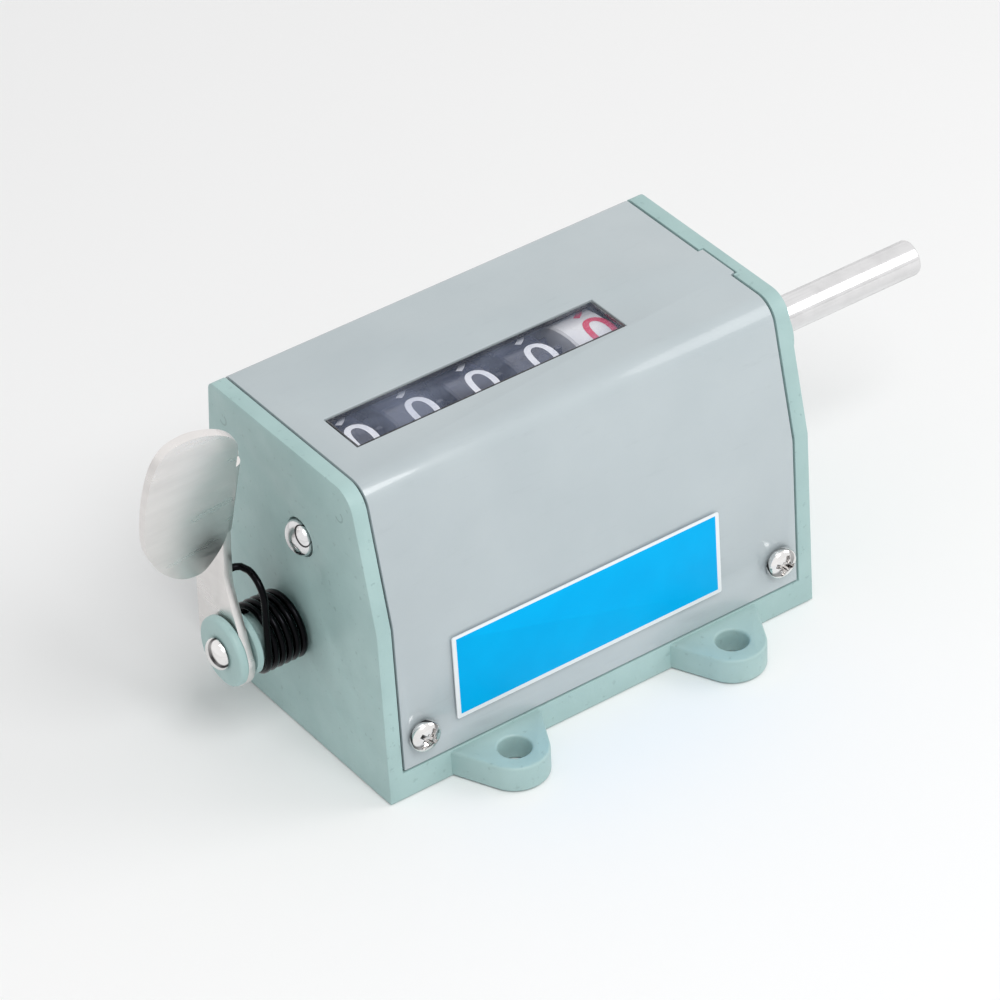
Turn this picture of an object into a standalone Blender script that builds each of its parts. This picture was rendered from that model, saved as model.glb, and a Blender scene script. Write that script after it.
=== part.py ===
"""Mechanical stroke counter: a five-wheel counter with a through shaft and a reset lever.

Metres, +X along the shaft towards the drive rod, +Y to the rear, +Z up. The origin is the
centre of the underside of the frame.
"""
import math

import bmesh
import bpy
from mathutils import Matrix, Vector

# Body: the three sizes printed beside the photographed counter, and the ear spacing
BODY_LENGTH = 0.0847
BODY_DEPTH = 0.0485
BODY_HEIGHT = 0.0570
EAR_SPACING = 0.0435

# Clearance between pieces that touch or run on each other
GAP = 0.0003

# Cross-section of the body, seen along the shaft
KINK_HEIGHT = 0.0330
KINK_SETBACK = 0.00105
FRONT_TOP_SETBACK = 0.0064
REAR_TOP_SETBACK = 0.0032
FRONT_TOP_RADIUS = 0.0045
REAR_TOP_RADIUS = 0.0016

# Frame casting
PLATE_THICKNESS = 0.0027
FLOOR_THICKNESS = 0.0049
BOSS_RADIUS = 0.0070
BOSS_LENGTH = 0.0080
EAR_THICKNESS = 0.0047
EAR_REACH = 0.0050
EAR_TIP_RADIUS = 0.0057
EAR_ROOT_HALF_WIDTH = 0.00875
EAR_HOLE_RADIUS = 0.00275
LUG_WIDTH = 0.0072
LUG_DEPTH = 0.0050
LUG_HEIGHT = 0.0105

# Cover, window, label and cover screws
SHEET = 0.0010
COVER_GAP = 0.0004
WINDOW_LEFT_LAP = 0.00215
WINDOW_RIGHT_MARGIN = 0.00025
WINDOW_WIDTH = 0.0094
WINDOW_FORWARD = 0.0005
LENS_THICKNESS = 0.0008
LENS_EDGE_RADIUS = 0.0002
TAB_WIDTH = 0.0084
TAB_REACH = 0.00095
LABEL_LEFT_MARGIN = 0.00645
LABEL_RIGHT_MARGIN = 0.01205
LABEL_BOTTOM = 0.0108
LABEL_TOP = 0.0266
LABEL_THICKNESS = 0.0003
COVER_SCREW_INSET = 0.00685
COVER_SCREW_Z = 0.0110
SCREW_HEAD_RADIUS = 0.0029
SCREW_HEAD_HEIGHT = 0.0019
SCREW_SHANK_RADIUS = 0.0015
SCREW_SHANK_LENGTH = 0.0052
RECESS_LENGTH = 0.0034
RECESS_WIDTH = 0.0007
RECESS_DEPTH = 0.0010

# Main shaft and its fittings
MAIN_Y = -0.0030
DRUM_TOP_CLEARANCE = 0.0005
SHAFT_RADIUS = 0.0031
SHAFT_FREE_LENGTH = 0.02965
SHAFT_DOME_HEIGHT = 0.0021
SHAFT_CHAMFER = 0.0004
BUSH_WALL = 0.0009
BUSH_FLANGE_RADIUS = 0.0054
BUSH_FLANGE_THICKNESS = 0.0010
COLLAR_RADIUS = 0.0060
COLLAR_WIDTH = 0.0050
COLLAR_CHAMFER = 0.0004
GRUB_RADIUS = 0.0010
RING_RADIUS = 0.0048
RING_WIDTH = 0.0011

# Number wheels
WHEEL_RADIUS = 0.0150
WHEEL_CHAMFER = 0.0003
DRUMS_LEFT_SPACE = 0.00345
DRUMS_RIGHT_SPACE = 0.02205
WHEEL_NAMES = ("units", "tens", "hundreds", "thousands", "ten_thousands")
FINGER_THICKNESS = 0.0009
TRANSFER_THICKNESS = 0.0010
SECTOR_THICKNESS = 0.0009
HEART_LOW_RADIUS = 0.0050
HEART_HIGH_RADIUS = 0.0090
LAP = 0.0002

# Carry gearing: the transfer gear on each wheel, its pinion and the two-tooth carry plate
TRANSFER_MODULE = 0.00125
TRANSFER_TEETH = 20
TRANSFER_PINION_TEETH = 8
CARRY_DISC_SHARE = 0.80
CARRY_CLEAR_TURN = math.radians(23.5)
TRANSFER_ROD_INSET = 0.01075
TRANSFER_ROD_RADIUS = 0.0012

# Input gearing: twelve teeth drive thirty, and ten on the same spindle drive forty
INPUT_CENTRES = 0.0165
COUNTER_AXIS_INSET = 0.0155482
DRIVE_TEETH = 12
COUNTER_TEETH = 30
COUNTER_PINION_TEETH = 10
UNITS_GEAR_TEETH = 40
UNITS_GEAR_THICKNESS = 0.0012
COUNTER_PINION_MARGIN = 0.0002
COUNTER_HUB_RADIUS = 0.0035
COUNTER_SPINDLE_RADIUS = 0.0016
COUNTER_SPINDLE_SEAT = 0.0012
INPUT_GEAR_WIDTH = 0.0020
DRIVE_HUB_RADIUS = 0.0046
DRIVE_HUB_WIDTH = 0.0040
CROSS_PIN_RADIUS = 0.0008
WASHER_RADIUS = 0.0050
WASHER_THICKNESS = 0.0004
WASHER_RISE = 0.0007

# Tooth form, as shares of the module and of the tooth pitch
ADDENDUM_SHARE = 0.90
DEDENDUM_SHARE = 1.20
TOOTH_SHARE = 0.43
PRESSURE_ANGLE = math.radians(20.0)

# Reset shaft, its fingers and the bail that carries the transfer pinions
RESET_OFFSET_Y = 0.0044
RESET_DROP = 0.0190
RESET_SHAFT_RADIUS = 0.0020
RESET_TRAVEL = math.radians(40.0)
FINGER_BOSS_RADIUS = 0.0036
FINGER_TIP_HALF_WIDTH = 0.0009
FINGER_ROOT_HALF_WIDTH = 0.0018
FINGER_HEART_CLEARANCE = 0.0012
BAIL_THICKNESS = 0.0012
BAIL_ROD_BOSS_RADIUS = 0.0023
BAIL_SHAFT_BOSS_RADIUS = 0.0034

# Bearing bracket between the wheels and the input gears
BRACKET_THICKNESS = 0.0015
BRACKET_WALL_GAP = 0.0030
BRACKET_RISE = 0.0095
FOOT_MARGIN = 0.0007
FOOT_HALF_WIDTH = 0.0120
FOOT_SCREW_Y = 0.0085
FOOT_SCREW_HEAD_RADIUS = 0.0022
FOOT_SCREW_HEAD_HEIGHT = 0.0013
FOOT_SCREW_RADIUS = 0.0011
FOOT_SCREW_LENGTH = 0.0040

# Reset lever outside the left plate
SPOOL_RADIUS = 0.0039
FLANGE_RADIUS = 0.0054
FLANGE_THICKNESS = 0.0012
LEVER_THICKNESS = 0.0015
LEVER_INNER_X = 0.01015
LEVER_DISC_RADIUS = 0.0060
LEVER_DISC_THICKNESS = 0.0016
LEVER_DISC_CHAMFER = 0.0003
LEVER_HEAD_RADIUS = 0.0028
LEVER_HEAD_HEIGHT = 0.0018
LEVER_FOOT_RADIUS = 0.0068
LEVER_FOOT_SHIFT = 0.0021
LEVER_FOOT_DROP = 0.0010
LEVER_NECK_HALF_WIDTH = 0.0042
LEVER_NECK_LIFT = 0.0125
LEVER_NECK_SHIFT = 0.0043
BEND_LIFT = 0.0316
BEND_SHIFT = -0.0042
BEND_LEAN = math.radians(15.4)
BEND_HALF_LENGTH = 0.0078
BEND_RADIUS = 0.0015
LEVER_TOP_WIDTH = 0.0090
LEVER_TOP_FALL = 0.0015
LEVER_TOP_RADIUS = 0.0035
PAD_WIDTH = 0.0178
PAD_LENGTH = 0.0346
PAD_OUTLINE_SHARES = ((0.00, -0.20), (0.00, 0.00), (0.00, 0.21), (0.02, 0.31), (0.11, 0.40),
                      (0.25, 0.48), (0.42, 0.53), (0.62, 0.56), (0.81, 0.545), (0.91, 0.49),
                      (0.97, 0.40), (1.00, 0.23), (0.985, 0.03), (0.93, -0.13), (0.80, -0.27),
                      (0.64, -0.37), (0.48, -0.43), (0.31, -0.44), (0.20, -0.38),
                      (0.11, -0.29))

# Reset spring, a close torsion spring of round wire
WIRE_RADIUS = 0.00045
COIL_RADIUS = 0.0054
COIL_PITCH = 0.00134
COIL_TURNS = 5.25
POINTS_PER_CURL = 10
TAIL_CLIMB = 0.0105
TAIL_BEND_RADIUS = 0.0040
TAIL_REACH = 0.0020
LEG_LENGTH = 0.0072
LEAST_WIRE_GAP = 0.0004
ANCHOR_RADIUS = 0.0009
ANCHOR_LENGTH = 0.0026

# Facets of round pieces
FINE_SEGMENTS = 40
ROUND_SEGMENTS = 24
SMALL_SEGMENTS = 16
ARC_STEPS = 4
OVERRUN = 0.0010
WELD = 0.000001
SHARP_ANGLE = math.radians(35.0)

# Places worked out from the sizes above
HALF_LENGTH = BODY_LENGTH / 2
HALF_DEPTH = BODY_DEPTH / 2
INNER_X = HALF_LENGTH - PLATE_THICKNESS
MAIN_Z = BODY_HEIGHT - SHEET - DRUM_TOP_CLEARANCE - WHEEL_RADIUS
MAIN_AXIS = (MAIN_Y, MAIN_Z)
RESET_AXIS = (MAIN_Y + RESET_OFFSET_Y, MAIN_Z - RESET_DROP)
SHAFT_BORE = SHAFT_RADIUS + GAP
SHAFT_END_X = HALF_LENGTH + BOSS_LENGTH + SHAFT_FREE_LENGTH
HEART_THICKNESS = FINGER_THICKNESS + 2 * GAP
WHEEL_STACK = HEART_THICKNESS + TRANSFER_THICKNESS + GAP + SECTOR_THICKNESS
UNITS_RIGHT_X = INNER_X - DRUMS_RIGHT_SPACE
DRUMS_LEFT_X = -INNER_X + DRUMS_LEFT_SPACE
WHEEL_PITCH = (UNITS_RIGHT_X - DRUMS_LEFT_X + WHEEL_STACK) / len(WHEEL_NAMES)
WHEEL_WIDTH = WHEEL_PITCH - WHEEL_STACK
WINDOW_LEFT_X = DRUMS_LEFT_X + WINDOW_LEFT_LAP
WINDOW_RIGHT_X = UNITS_RIGHT_X + WINDOW_RIGHT_MARGIN
WINDOW_CENTRE_Y = MAIN_Y - WINDOW_FORWARD
COVER_SCREW_X = HALF_LENGTH - COVER_SCREW_INSET
LABEL_LEFT_X = -COVER_SCREW_X + LABEL_LEFT_MARGIN
LABEL_RIGHT_X = COVER_SCREW_X - LABEL_RIGHT_MARGIN
TRANSFER_CENTRES = TRANSFER_MODULE * (TRANSFER_TEETH + TRANSFER_PINION_TEETH) / 2
TRANSFER_ROD_DIRECTION = math.pi + math.acos((MAIN_Y + HALF_DEPTH - TRANSFER_ROD_INSET)
                                             / TRANSFER_CENTRES)
INPUT_DIRECTION = -math.acos((HALF_DEPTH - COUNTER_AXIS_INSET - MAIN_Y) / INPUT_CENTRES)
BRACKET_TOP = MAIN_Z + BRACKET_RISE
ROD_AXIS = (MAIN_Y + TRANSFER_CENTRES * math.cos(TRANSFER_ROD_DIRECTION),
            MAIN_Z + TRANSFER_CENTRES * math.sin(TRANSFER_ROD_DIRECTION))
COUNTER_AXIS = (MAIN_Y + INPUT_CENTRES * math.cos(INPUT_DIRECTION),
                MAIN_Z + INPUT_CENTRES * math.sin(INPUT_DIRECTION))
DRIVE_MODULE = 2 * INPUT_CENTRES / (DRIVE_TEETH + COUNTER_TEETH)
UNITS_MODULE = 2 * INPUT_CENTRES / (COUNTER_PINION_TEETH + UNITS_GEAR_TEETH)
UNITS_GEAR_X = UNITS_RIGHT_X + HEART_THICKNESS + GAP
UNITS_GEAR_END_X = UNITS_GEAR_X + UNITS_GEAR_THICKNESS
BAIL_RIGHT_X = UNITS_GEAR_END_X + GAP
BRACKET_X = BAIL_RIGHT_X + BAIL_THICKNESS + 2 * GAP
BRACKET_END_X = BRACKET_X + BRACKET_THICKNESS
INPUT_GEAR_X = BRACKET_END_X + 2 * GAP
FOOT_SCREW_X = INPUT_GEAR_X + INPUT_GEAR_WIDTH + GAP + FOOT_SCREW_HEAD_RADIUS
FOOT_END_X = FOOT_SCREW_X + FOOT_SCREW_HEAD_RADIUS + FOOT_MARGIN
BAIL_LEFT_X = -INNER_X + GAP
LEVER_X = -HALF_LENGTH - LEVER_INNER_X
LEVER_OUTER_X = LEVER_X - LEVER_THICKNESS
FLANGE_X = LEVER_X + GAP + FLANGE_THICKNESS
FLOOR_TOP = FLOOR_THICKNESS
COVER_BOTTOM = FLOOR_THICKNESS + COVER_GAP

# Turns a shape drawn in its own X and Y so that they become world Y and Z
ALONG_X = Matrix(((0, 0, 1, 0), (1, 0, 0, 0), (0, 1, 0, 0), (0, 0, 0, 1)))


def clear_scene():
    for old in list(bpy.data.objects):
        bpy.data.objects.remove(old, do_unlink=True)


def make_collection(name):
    made = bpy.data.collections.new(name)
    bpy.context.scene.collection.children.link(made)
    return made


def make_material(name, colour, roughness, metallic=0.0, alpha=1.0):
    made = bpy.data.materials.new(name)
    made.use_nodes = True
    shader = made.node_tree.nodes["Principled BSDF"]
    shader.inputs["Base Color"].default_value = (*colour, 1.0)
    shader.inputs["Roughness"].default_value = roughness
    shader.inputs["Metallic"].default_value = metallic
    shader.inputs["Alpha"].default_value = alpha
    return made


def place(item, material):
    """Put a finished object in the part's collection with its material."""
    PARTS.objects.link(item)
    if material is not None:
        item.data.materials.clear()
        item.data.materials.append(material)
    return item


def as_tool(item):
    """Make an object a hidden shape that only cuts or joins others."""
    for owner in list(item.users_collection):
        owner.objects.unlink(item)
    TOOLS.objects.link(item)
    item.hide_render = True
    item.display_type = "WIRE"
    return item


def smooth(item):
    item.data.shade_smooth()
    item.data.set_sharp_from_angle(angle=SHARP_ANGLE)
    return item


def mesh_object(name, mesh, matrix=None):
    item = bpy.data.objects.new(name, mesh)
    if matrix is not None:
        item.matrix_world = matrix
    return item


def combine(item, tool, operation):
    """Join a shape to an object, or cut it out, with an exact Boolean."""
    as_tool(tool)
    step = item.modifiers.new(operation.lower() + "_" + tool.name, "BOOLEAN")
    step.operation = operation
    step.solver = "EXACT"
    step.object = tool
    return item


def cut(item, *tools):
    for tool in tools:
        combine(item, tool, "DIFFERENCE")
    return item


def join(item, *tools):
    for tool in tools:
        combine(item, tool, "UNION")
    return item


def prism(name, outline, start, end, matrix=ALONG_X):
    """A flat outline, drawn in its own X and Y, filled and extruded from start to end."""
    curve = bpy.data.curves.new(name, "CURVE")
    curve.dimensions = "2D"
    curve.fill_mode = "BOTH"
    curve.extrude = (end - start) / 2
    spline = curve.splines.new("POLY")
    spline.points.add(len(outline) - 1)
    for point, (across, up) in zip(spline.points, outline):
        point.co = (across, up, 0, 1)
    spline.use_cyclic_u = True
    middle = Matrix.Translation((0, 0, (start + end) / 2))
    return from_curve(name, curve, matrix @ middle)


def from_curve(name, curve, matrix):
    """Change a curve to a closed mesh whose caps are welded to its sides."""
    drawn = bpy.data.objects.new(name + "_curve", curve)
    bpy.context.scene.collection.objects.link(drawn)
    bpy.context.view_layer.update()
    shape = drawn.evaluated_get(bpy.context.evaluated_depsgraph_get())
    mesh = bpy.data.meshes.new_from_object(shape)
    bpy.data.objects.remove(drawn, do_unlink=True)
    bpy.data.curves.remove(curve)
    work = bmesh.new()
    work.from_mesh(mesh)
    bmesh.ops.remove_doubles(work, verts=work.verts, dist=WELD)
    bmesh.ops.recalc_face_normals(work, faces=work.faces)
    work.to_mesh(mesh)
    work.free()
    mesh.name = name
    return mesh_object(name, mesh, matrix)


def axle_matrix(axis, along="X"):
    """The frame of a turned shape: its own Z runs along X, Y or Z through the axis."""
    if along == "X":
        return Matrix.Translation((0, *axis)) @ Matrix.Rotation(math.pi / 2, 4, "Y")
    if along == "Y":
        return Matrix.Translation((axis[0], 0, axis[1])) @ Matrix.Rotation(-math.pi / 2, 4, "X")
    return Matrix.Translation((*axis, 0))


def turned(name, profile, axis, segments=ROUND_SEGMENTS, along="X", closed=False):
    """Turn a profile of (radius, place) points, from the highest place to the lowest."""
    mesh = bpy.data.meshes.new(name)
    points = [(radius, 0, height) for radius, height in profile]
    edges = [(number, number + 1) for number in range(len(points) - 1)]
    if closed:
        edges.append((len(points) - 1, 0))
    mesh.from_pydata(points, edges, [])
    item = mesh_object(name, mesh, axle_matrix(axis, along))
    turn = item.modifiers.new("turn", "SCREW")
    turn.axis = "Z"
    turn.steps = segments
    turn.render_steps = segments
    turn.use_merge_vertices = True
    turn.merge_threshold = WELD
    return item


def rod(name, radius, start, end, axis, segments=ROUND_SEGMENTS, along="X"):
    """A plain cylinder along X, Y or Z."""
    mesh = bpy.data.meshes.new(name)
    work = bmesh.new()
    bmesh.ops.create_cone(work, cap_ends=True, segments=segments, radius1=radius,
                          radius2=radius, depth=end - start)
    bmesh.ops.translate(work, vec=(0, 0, (start + end) / 2), verts=work.verts)
    work.to_mesh(mesh)
    work.free()
    return mesh_object(name, mesh, axle_matrix(axis, along))


def chamfered_rod(name, radius, start, end, axis, chamfer, segments=ROUND_SEGMENTS):
    profile = [(0, end), (radius - chamfer, end), (radius, end - chamfer),
               (radius, start + chamfer), (radius - chamfer, start), (0, start)]
    return turned(name, profile, axis, segments)


def ring(name, radius, bore, start, end, axis, chamfer=0, segments=ROUND_SEGMENTS):
    """A turned ring with chamfered outer edges."""
    if chamfer > 0:
        outer = [(radius - chamfer, end), (radius, end - chamfer),
                 (radius, start + chamfer), (radius - chamfer, start)]
    else:
        outer = [(radius, end), (radius, start)]
    return turned(name, outer + [(bore, start), (bore, end)], axis, segments, closed=True)


def block(name, low, high):
    """A box between two corners."""
    mesh = bpy.data.meshes.new(name)
    work = bmesh.new()
    size = [top - bottom for bottom, top in zip(low, high)]
    middle = [(top + bottom) / 2 for bottom, top in zip(low, high)]
    bmesh.ops.create_cube(work, size=1.0)
    bmesh.ops.scale(work, vec=size, verts=work.verts)
    bmesh.ops.translate(work, vec=middle, verts=work.verts)
    work.to_mesh(mesh)
    work.free()
    return mesh_object(name, mesh)


def arc(centre, radius, start, end, steps):
    """Points on an arc about a centre, both ends included."""
    turn = (end - start) / steps
    return [(centre[0] + radius * math.cos(start + turn * number),
             centre[1] + radius * math.sin(start + turn * number))
            for number in range(steps + 1)]


def shifted(points, by):
    return [(across + by[0], up + by[1]) for across, up in points]


def meet(first, first_way, second, second_way):
    """The point where two lines cross, each given by a point and a direction."""
    cross = first_way.x * second_way.y - first_way.y * second_way.x
    apart = second - first
    reach = (apart.x * second_way.y - apart.y * second_way.x) / cross
    return first + first_way * reach


def inset_path(points, inset):
    """Move an open path to its right-hand side, keeping its corners sharp."""
    spots = [Vector(point) for point in points]
    ways = [(after - before).normalized() for before, after in zip(spots, spots[1:])]
    sides = [Vector((way.y, -way.x)) * inset for way in ways]
    moved = [spots[0] + sides[0]]
    for number in range(1, len(ways)):
        moved.append(meet(spots[number] + sides[number - 1], ways[number - 1],
                          spots[number] + sides[number], ways[number]))
    moved.append(spots[-1] + sides[-1])
    return moved


def rounded(before, corner, after, radius):
    """The arc that rounds a corner, as points from one side to the other."""
    back = (before - corner).normalized()
    ahead = (after - corner).normalized()
    half = back.angle(ahead) / 2
    reach = radius / math.tan(half)
    centre = corner + (back + ahead).normalized() * radius / math.sin(half)
    first = corner + back * reach - centre
    last = corner + ahead * reach - centre
    start = math.atan2(first.y, first.x)
    turn = math.atan2(last.y, last.x) - start
    turn -= 2 * math.pi * round(turn / (2 * math.pi))
    return arc(centre, radius, start, start + turn, ARC_STEPS)


def body_path(inset=0.0):
    """The body's cross-section, up the front, over the top and down the rear."""
    corners = [(-HALF_DEPTH, 0), (-HALF_DEPTH + KINK_SETBACK, KINK_HEIGHT),
               (-HALF_DEPTH + FRONT_TOP_SETBACK, BODY_HEIGHT),
               (HALF_DEPTH - REAR_TOP_SETBACK, BODY_HEIGHT),
               (HALF_DEPTH - KINK_SETBACK, KINK_HEIGHT), (HALF_DEPTH, 0)]
    spots = inset_path(corners, inset)
    front = rounded(spots[1], spots[2], spots[3], FRONT_TOP_RADIUS - inset)
    rear = rounded(spots[2], spots[3], spots[4], REAR_TOP_RADIUS - inset)
    return [tuple(spots[0]), tuple(spots[1]), *front, *rear, tuple(spots[4]), tuple(spots[5])]


def front_face_y(height):
    """Where the front face stands, below the kink."""
    return -HALF_DEPTH + KINK_SETBACK * height / KINK_HEIGHT


def body_path_above(inset):
    """The cross-section of the cover, from its lower edge up, moved inward by an inset."""
    path = body_path(inset)
    foot = front_face_y(COVER_BOTTOM) + inset
    return [(foot, COVER_BOTTOM), *path[1:-1], (-foot, COVER_BOTTOM)]


def gear_outline(teeth, module, facing, centre, flank_points=0):
    """A gear's outline with a tooth at the facing angle and near-involute flanks."""
    pitch_radius = teeth * module / 2
    base_radius = pitch_radius * math.cos(PRESSURE_ANGLE)
    radii = [pitch_radius - DEDENDUM_SHARE * module, *[pitch_radius] * flank_points,
             pitch_radius + ADDENDUM_SHARE * module]
    pitch_angle = 2 * math.pi / teeth
    points = []
    for tooth in range(teeth):
        middle = facing + tooth * pitch_angle
        halves = [tooth_half_angle(radius, base_radius, pitch_angle) for radius in radii]
        points += [(radius * math.cos(middle - half), radius * math.sin(middle - half))
                   for radius, half in zip(radii, halves)]
        points += [(radius * math.cos(middle + half), radius * math.sin(middle + half))
                   for radius, half in zip(reversed(radii), reversed(halves))]
    return shifted(points, centre)


def tooth_half_angle(radius, base_radius, pitch_angle):
    """Half the angle that a tooth takes at a radius."""
    lean = math.acos(min(1, base_radius / max(radius, base_radius)))
    opened = math.tan(PRESSURE_ANGLE) - PRESSURE_ANGLE
    return TOOTH_SHARE * pitch_angle / 2 + opened - (math.tan(lean) - lean)


def carry_outline(module, facing, centre):
    """A disc with two neighbouring teeth of the transfer gear."""
    pitch_radius = TRANSFER_TEETH * module / 2
    disc = pitch_radius * CARRY_DISC_SHARE
    pitch_angle = 2 * math.pi / TRANSFER_TEETH
    tip = pitch_radius + ADDENDUM_SHARE * module
    base = pitch_radius * math.cos(PRESSURE_ANGLE)
    points = []
    for tooth in range(2):
        middle = facing + tooth * pitch_angle
        for radius, side in ((disc, -1), (tip, -1), (tip, 1), (disc, 1)):
            turn = middle + side * tooth_half_angle(radius, base, pitch_angle)
            points.append((radius * math.cos(turn), radius * math.sin(turn)))
    foot = tooth_half_angle(disc, base, pitch_angle)
    rest = arc((0, 0), disc, facing + pitch_angle + foot, facing - foot + 2 * math.pi,
               ROUND_SEGMENTS)
    return shifted(points + rest[1:-1], centre)


def heart_outline(valley, centre):
    """A heart cam, lowest at the valley angle and highest opposite it."""
    points = []
    for number in range(FINE_SEGMENTS):
        share = number / FINE_SEGMENTS
        away = 1 - abs(2 * share - 1)
        radius = HEART_LOW_RADIUS + (HEART_HIGH_RADIUS - HEART_LOW_RADIUS) * away
        turn = valley + 2 * math.pi * share
        points.append((radius * math.cos(turn), radius * math.sin(turn)))
    return shifted(points, centre)


def capsule(first, first_radius, second, second_radius):
    """The outline of a link: two rounds of unlike size with straight tangent sides."""
    apart = math.hypot(second[0] - first[0], second[1] - first[1])
    way = math.atan2(second[1] - first[1], second[0] - first[0])
    lean = math.acos((first_radius - second_radius) / apart)
    return (arc(second, second_radius, way - lean, way + lean, 2 * ARC_STEPS)
            + arc(first, first_radius, way + lean, way + 2 * math.pi - lean, 3 * ARC_STEPS))


def bore(axis, radius, start, end, name="bore", segments=ROUND_SEGMENTS, along="X"):
    return rod(name, radius, start, end, axis, segments, along)


def ear_outline(side_x, side_y):
    """A fixing ear seen from above: a round tip that widens to the body."""
    hole = (side_x * EAR_SPACING / 2, HALF_DEPTH + EAR_REACH)
    root = HALF_DEPTH - PLATE_THICKNESS
    spread = (math.acos(EAR_TIP_RADIUS / math.hypot(EAR_ROOT_HALF_WIDTH, EAR_REACH))
              - math.atan2(EAR_REACH, EAR_ROOT_HALF_WIDTH))
    tip = arc(hole, EAR_TIP_RADIUS, spread, math.pi - spread, 3 * ARC_STEPS)
    feet = [(hole[0] - EAR_ROOT_HALF_WIDTH, HALF_DEPTH), (hole[0] - EAR_ROOT_HALF_WIDTH, root),
            (hole[0] + EAR_ROOT_HALF_WIDTH, root), (hole[0] + EAR_ROOT_HALF_WIDTH, HALF_DEPTH)]
    outline = tip + feet
    if side_y > 0:
        return outline
    return [(across, -up) for across, up in reversed(outline)]


def make_frame():
    """The casting: floor, two end plates, shaft boss, four ears and four screw lugs."""
    shape = list(reversed(body_path()))
    frame = prism("frame_casting", shape, -HALF_LENGTH, HALF_LENGTH)
    cut(frame, block("inside_cut", (-INNER_X, -BODY_DEPTH, FLOOR_THICKNESS),
                     (INNER_X, BODY_DEPTH, BODY_HEIGHT + OVERRUN)))
    join(frame, rod("boss", BOSS_RADIUS, HALF_LENGTH - PLATE_THICKNESS / 2,
                    HALF_LENGTH + BOSS_LENGTH, MAIN_AXIS))
    for side_x in (-1, 1):
        for side_y in (-1, 1):
            add_ear(frame, side_x, side_y)
            add_lug(frame, side_x, side_y)
    far = HALF_LENGTH + BOSS_LENGTH + OVERRUN
    cut(frame, bore(MAIN_AXIS, SHAFT_BORE, -HALF_LENGTH - OVERRUN, -INNER_X + OVERRUN, "left_bore"),
        bore(MAIN_AXIS, SHAFT_BORE + BUSH_WALL + GAP, INNER_X - OVERRUN, far, "bush_bore"),
        bore(RESET_AXIS, RESET_SHAFT_RADIUS + GAP, -HALF_LENGTH - OVERRUN, -INNER_X + OVERRUN,
             "reset_bore"),
        bore(COUNTER_AXIS, COUNTER_SPINDLE_RADIUS + GAP, INNER_X - OVERRUN,
             INNER_X + COUNTER_SPINDLE_SEAT + GAP, "spindle_seat"),
        tab_notch())
    place(frame, CASTING)


def add_ear(frame, side_x, side_y):
    label = ("left" if side_x < 0 else "right") + ("_front" if side_y < 0 else "_rear")
    join(frame, prism("ear_" + label, ear_outline(side_x, side_y), 0, EAR_THICKNESS, Matrix()))
    hole = (side_x * EAR_SPACING / 2, side_y * (HALF_DEPTH + EAR_REACH))
    cut(frame, bore(hole, EAR_HOLE_RADIUS, -OVERRUN, EAR_THICKNESS + OVERRUN,
                    "ear_hole_" + label, along="Z"))


def add_lug(frame, side_x, side_y):
    """A block that a cover screw bites into, behind the cover's wall."""
    wall = -front_face_y(COVER_BOTTOM + LUG_HEIGHT) - SHEET - 2 * GAP
    inner = INNER_X - LUG_WIDTH
    outer = INNER_X + PLATE_THICKNESS / 2
    label = ("left" if side_x < 0 else "right") + ("_front" if side_y < 0 else "_rear")
    low_x, high_x = sorted((side_x * inner, side_x * outer))
    low_y, high_y = sorted((side_y * (wall - LUG_DEPTH), side_y * wall))
    join(frame, block("lug_" + label, (low_x, low_y, FLOOR_THICKNESS / 2),
                      (high_x, high_y, COVER_BOTTOM + LUG_HEIGHT)))
    start, end = sorted((side_y * (wall - LUG_DEPTH - OVERRUN), side_y * (wall + OVERRUN)))
    cut(frame, bore((side_x * COVER_SCREW_X, COVER_SCREW_Z), SCREW_SHANK_RADIUS + GAP,
                    start, end, "lug_hole_" + label, SMALL_SEGMENTS, "Y"))


def tab_notch():
    """The recess in the right plate's top edge that the cover's tab lies in."""
    half = TAB_WIDTH / 2 + GAP
    reach = INNER_X - COVER_GAP + TAB_REACH + GAP
    return block("tab_notch", (INNER_X - OVERRUN, MAIN_Y - half, BODY_HEIGHT - SHEET - GAP),
                 (reach, MAIN_Y + half, BODY_HEIGHT + OVERRUN))


def make_cover():
    """The folded sheet between the end plates, with its window and screw holes."""
    end_x = INNER_X - COVER_GAP
    sheet = body_path_above(0) + body_path_above(SHEET)[::-1]
    cover = prism("cover", list(reversed(sheet)), -end_x, end_x + TAB_REACH)
    for side in (-1, 1):
        near, far = sorted((MAIN_Y + side * TAB_WIDTH / 2, side * (HALF_DEPTH + OVERRUN)))
        cut(cover, block("beside_tab", (end_x, near, 0),
                         (end_x + TAB_REACH + OVERRUN, far, BODY_HEIGHT + OVERRUN)))
    cut(cover, window_shape("window_cut", 0, BODY_HEIGHT - SHEET - OVERRUN,
                            BODY_HEIGHT + OVERRUN))
    for side_x in (-1, 1):
        for side_y in (-1, 1):
            start, end = sorted((side_y * (HALF_DEPTH - SHEET - 2 * OVERRUN),
                                 side_y * (HALF_DEPTH + OVERRUN)))
            cut(cover, bore((side_x * COVER_SCREW_X, COVER_SCREW_Z), SCREW_SHANK_RADIUS + GAP,
                            start, end, "cover_hole", SMALL_SEGMENTS, "Y"))
    place(cover, COVER_PAINT)


def window_shape(name, shrink, bottom, top):
    half_width = WINDOW_WIDTH / 2 - shrink
    return block(name, (WINDOW_LEFT_X + shrink, WINDOW_CENTRE_Y - half_width, bottom),
                 (WINDOW_RIGHT_X - shrink, WINDOW_CENTRE_Y + half_width, top))


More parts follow.
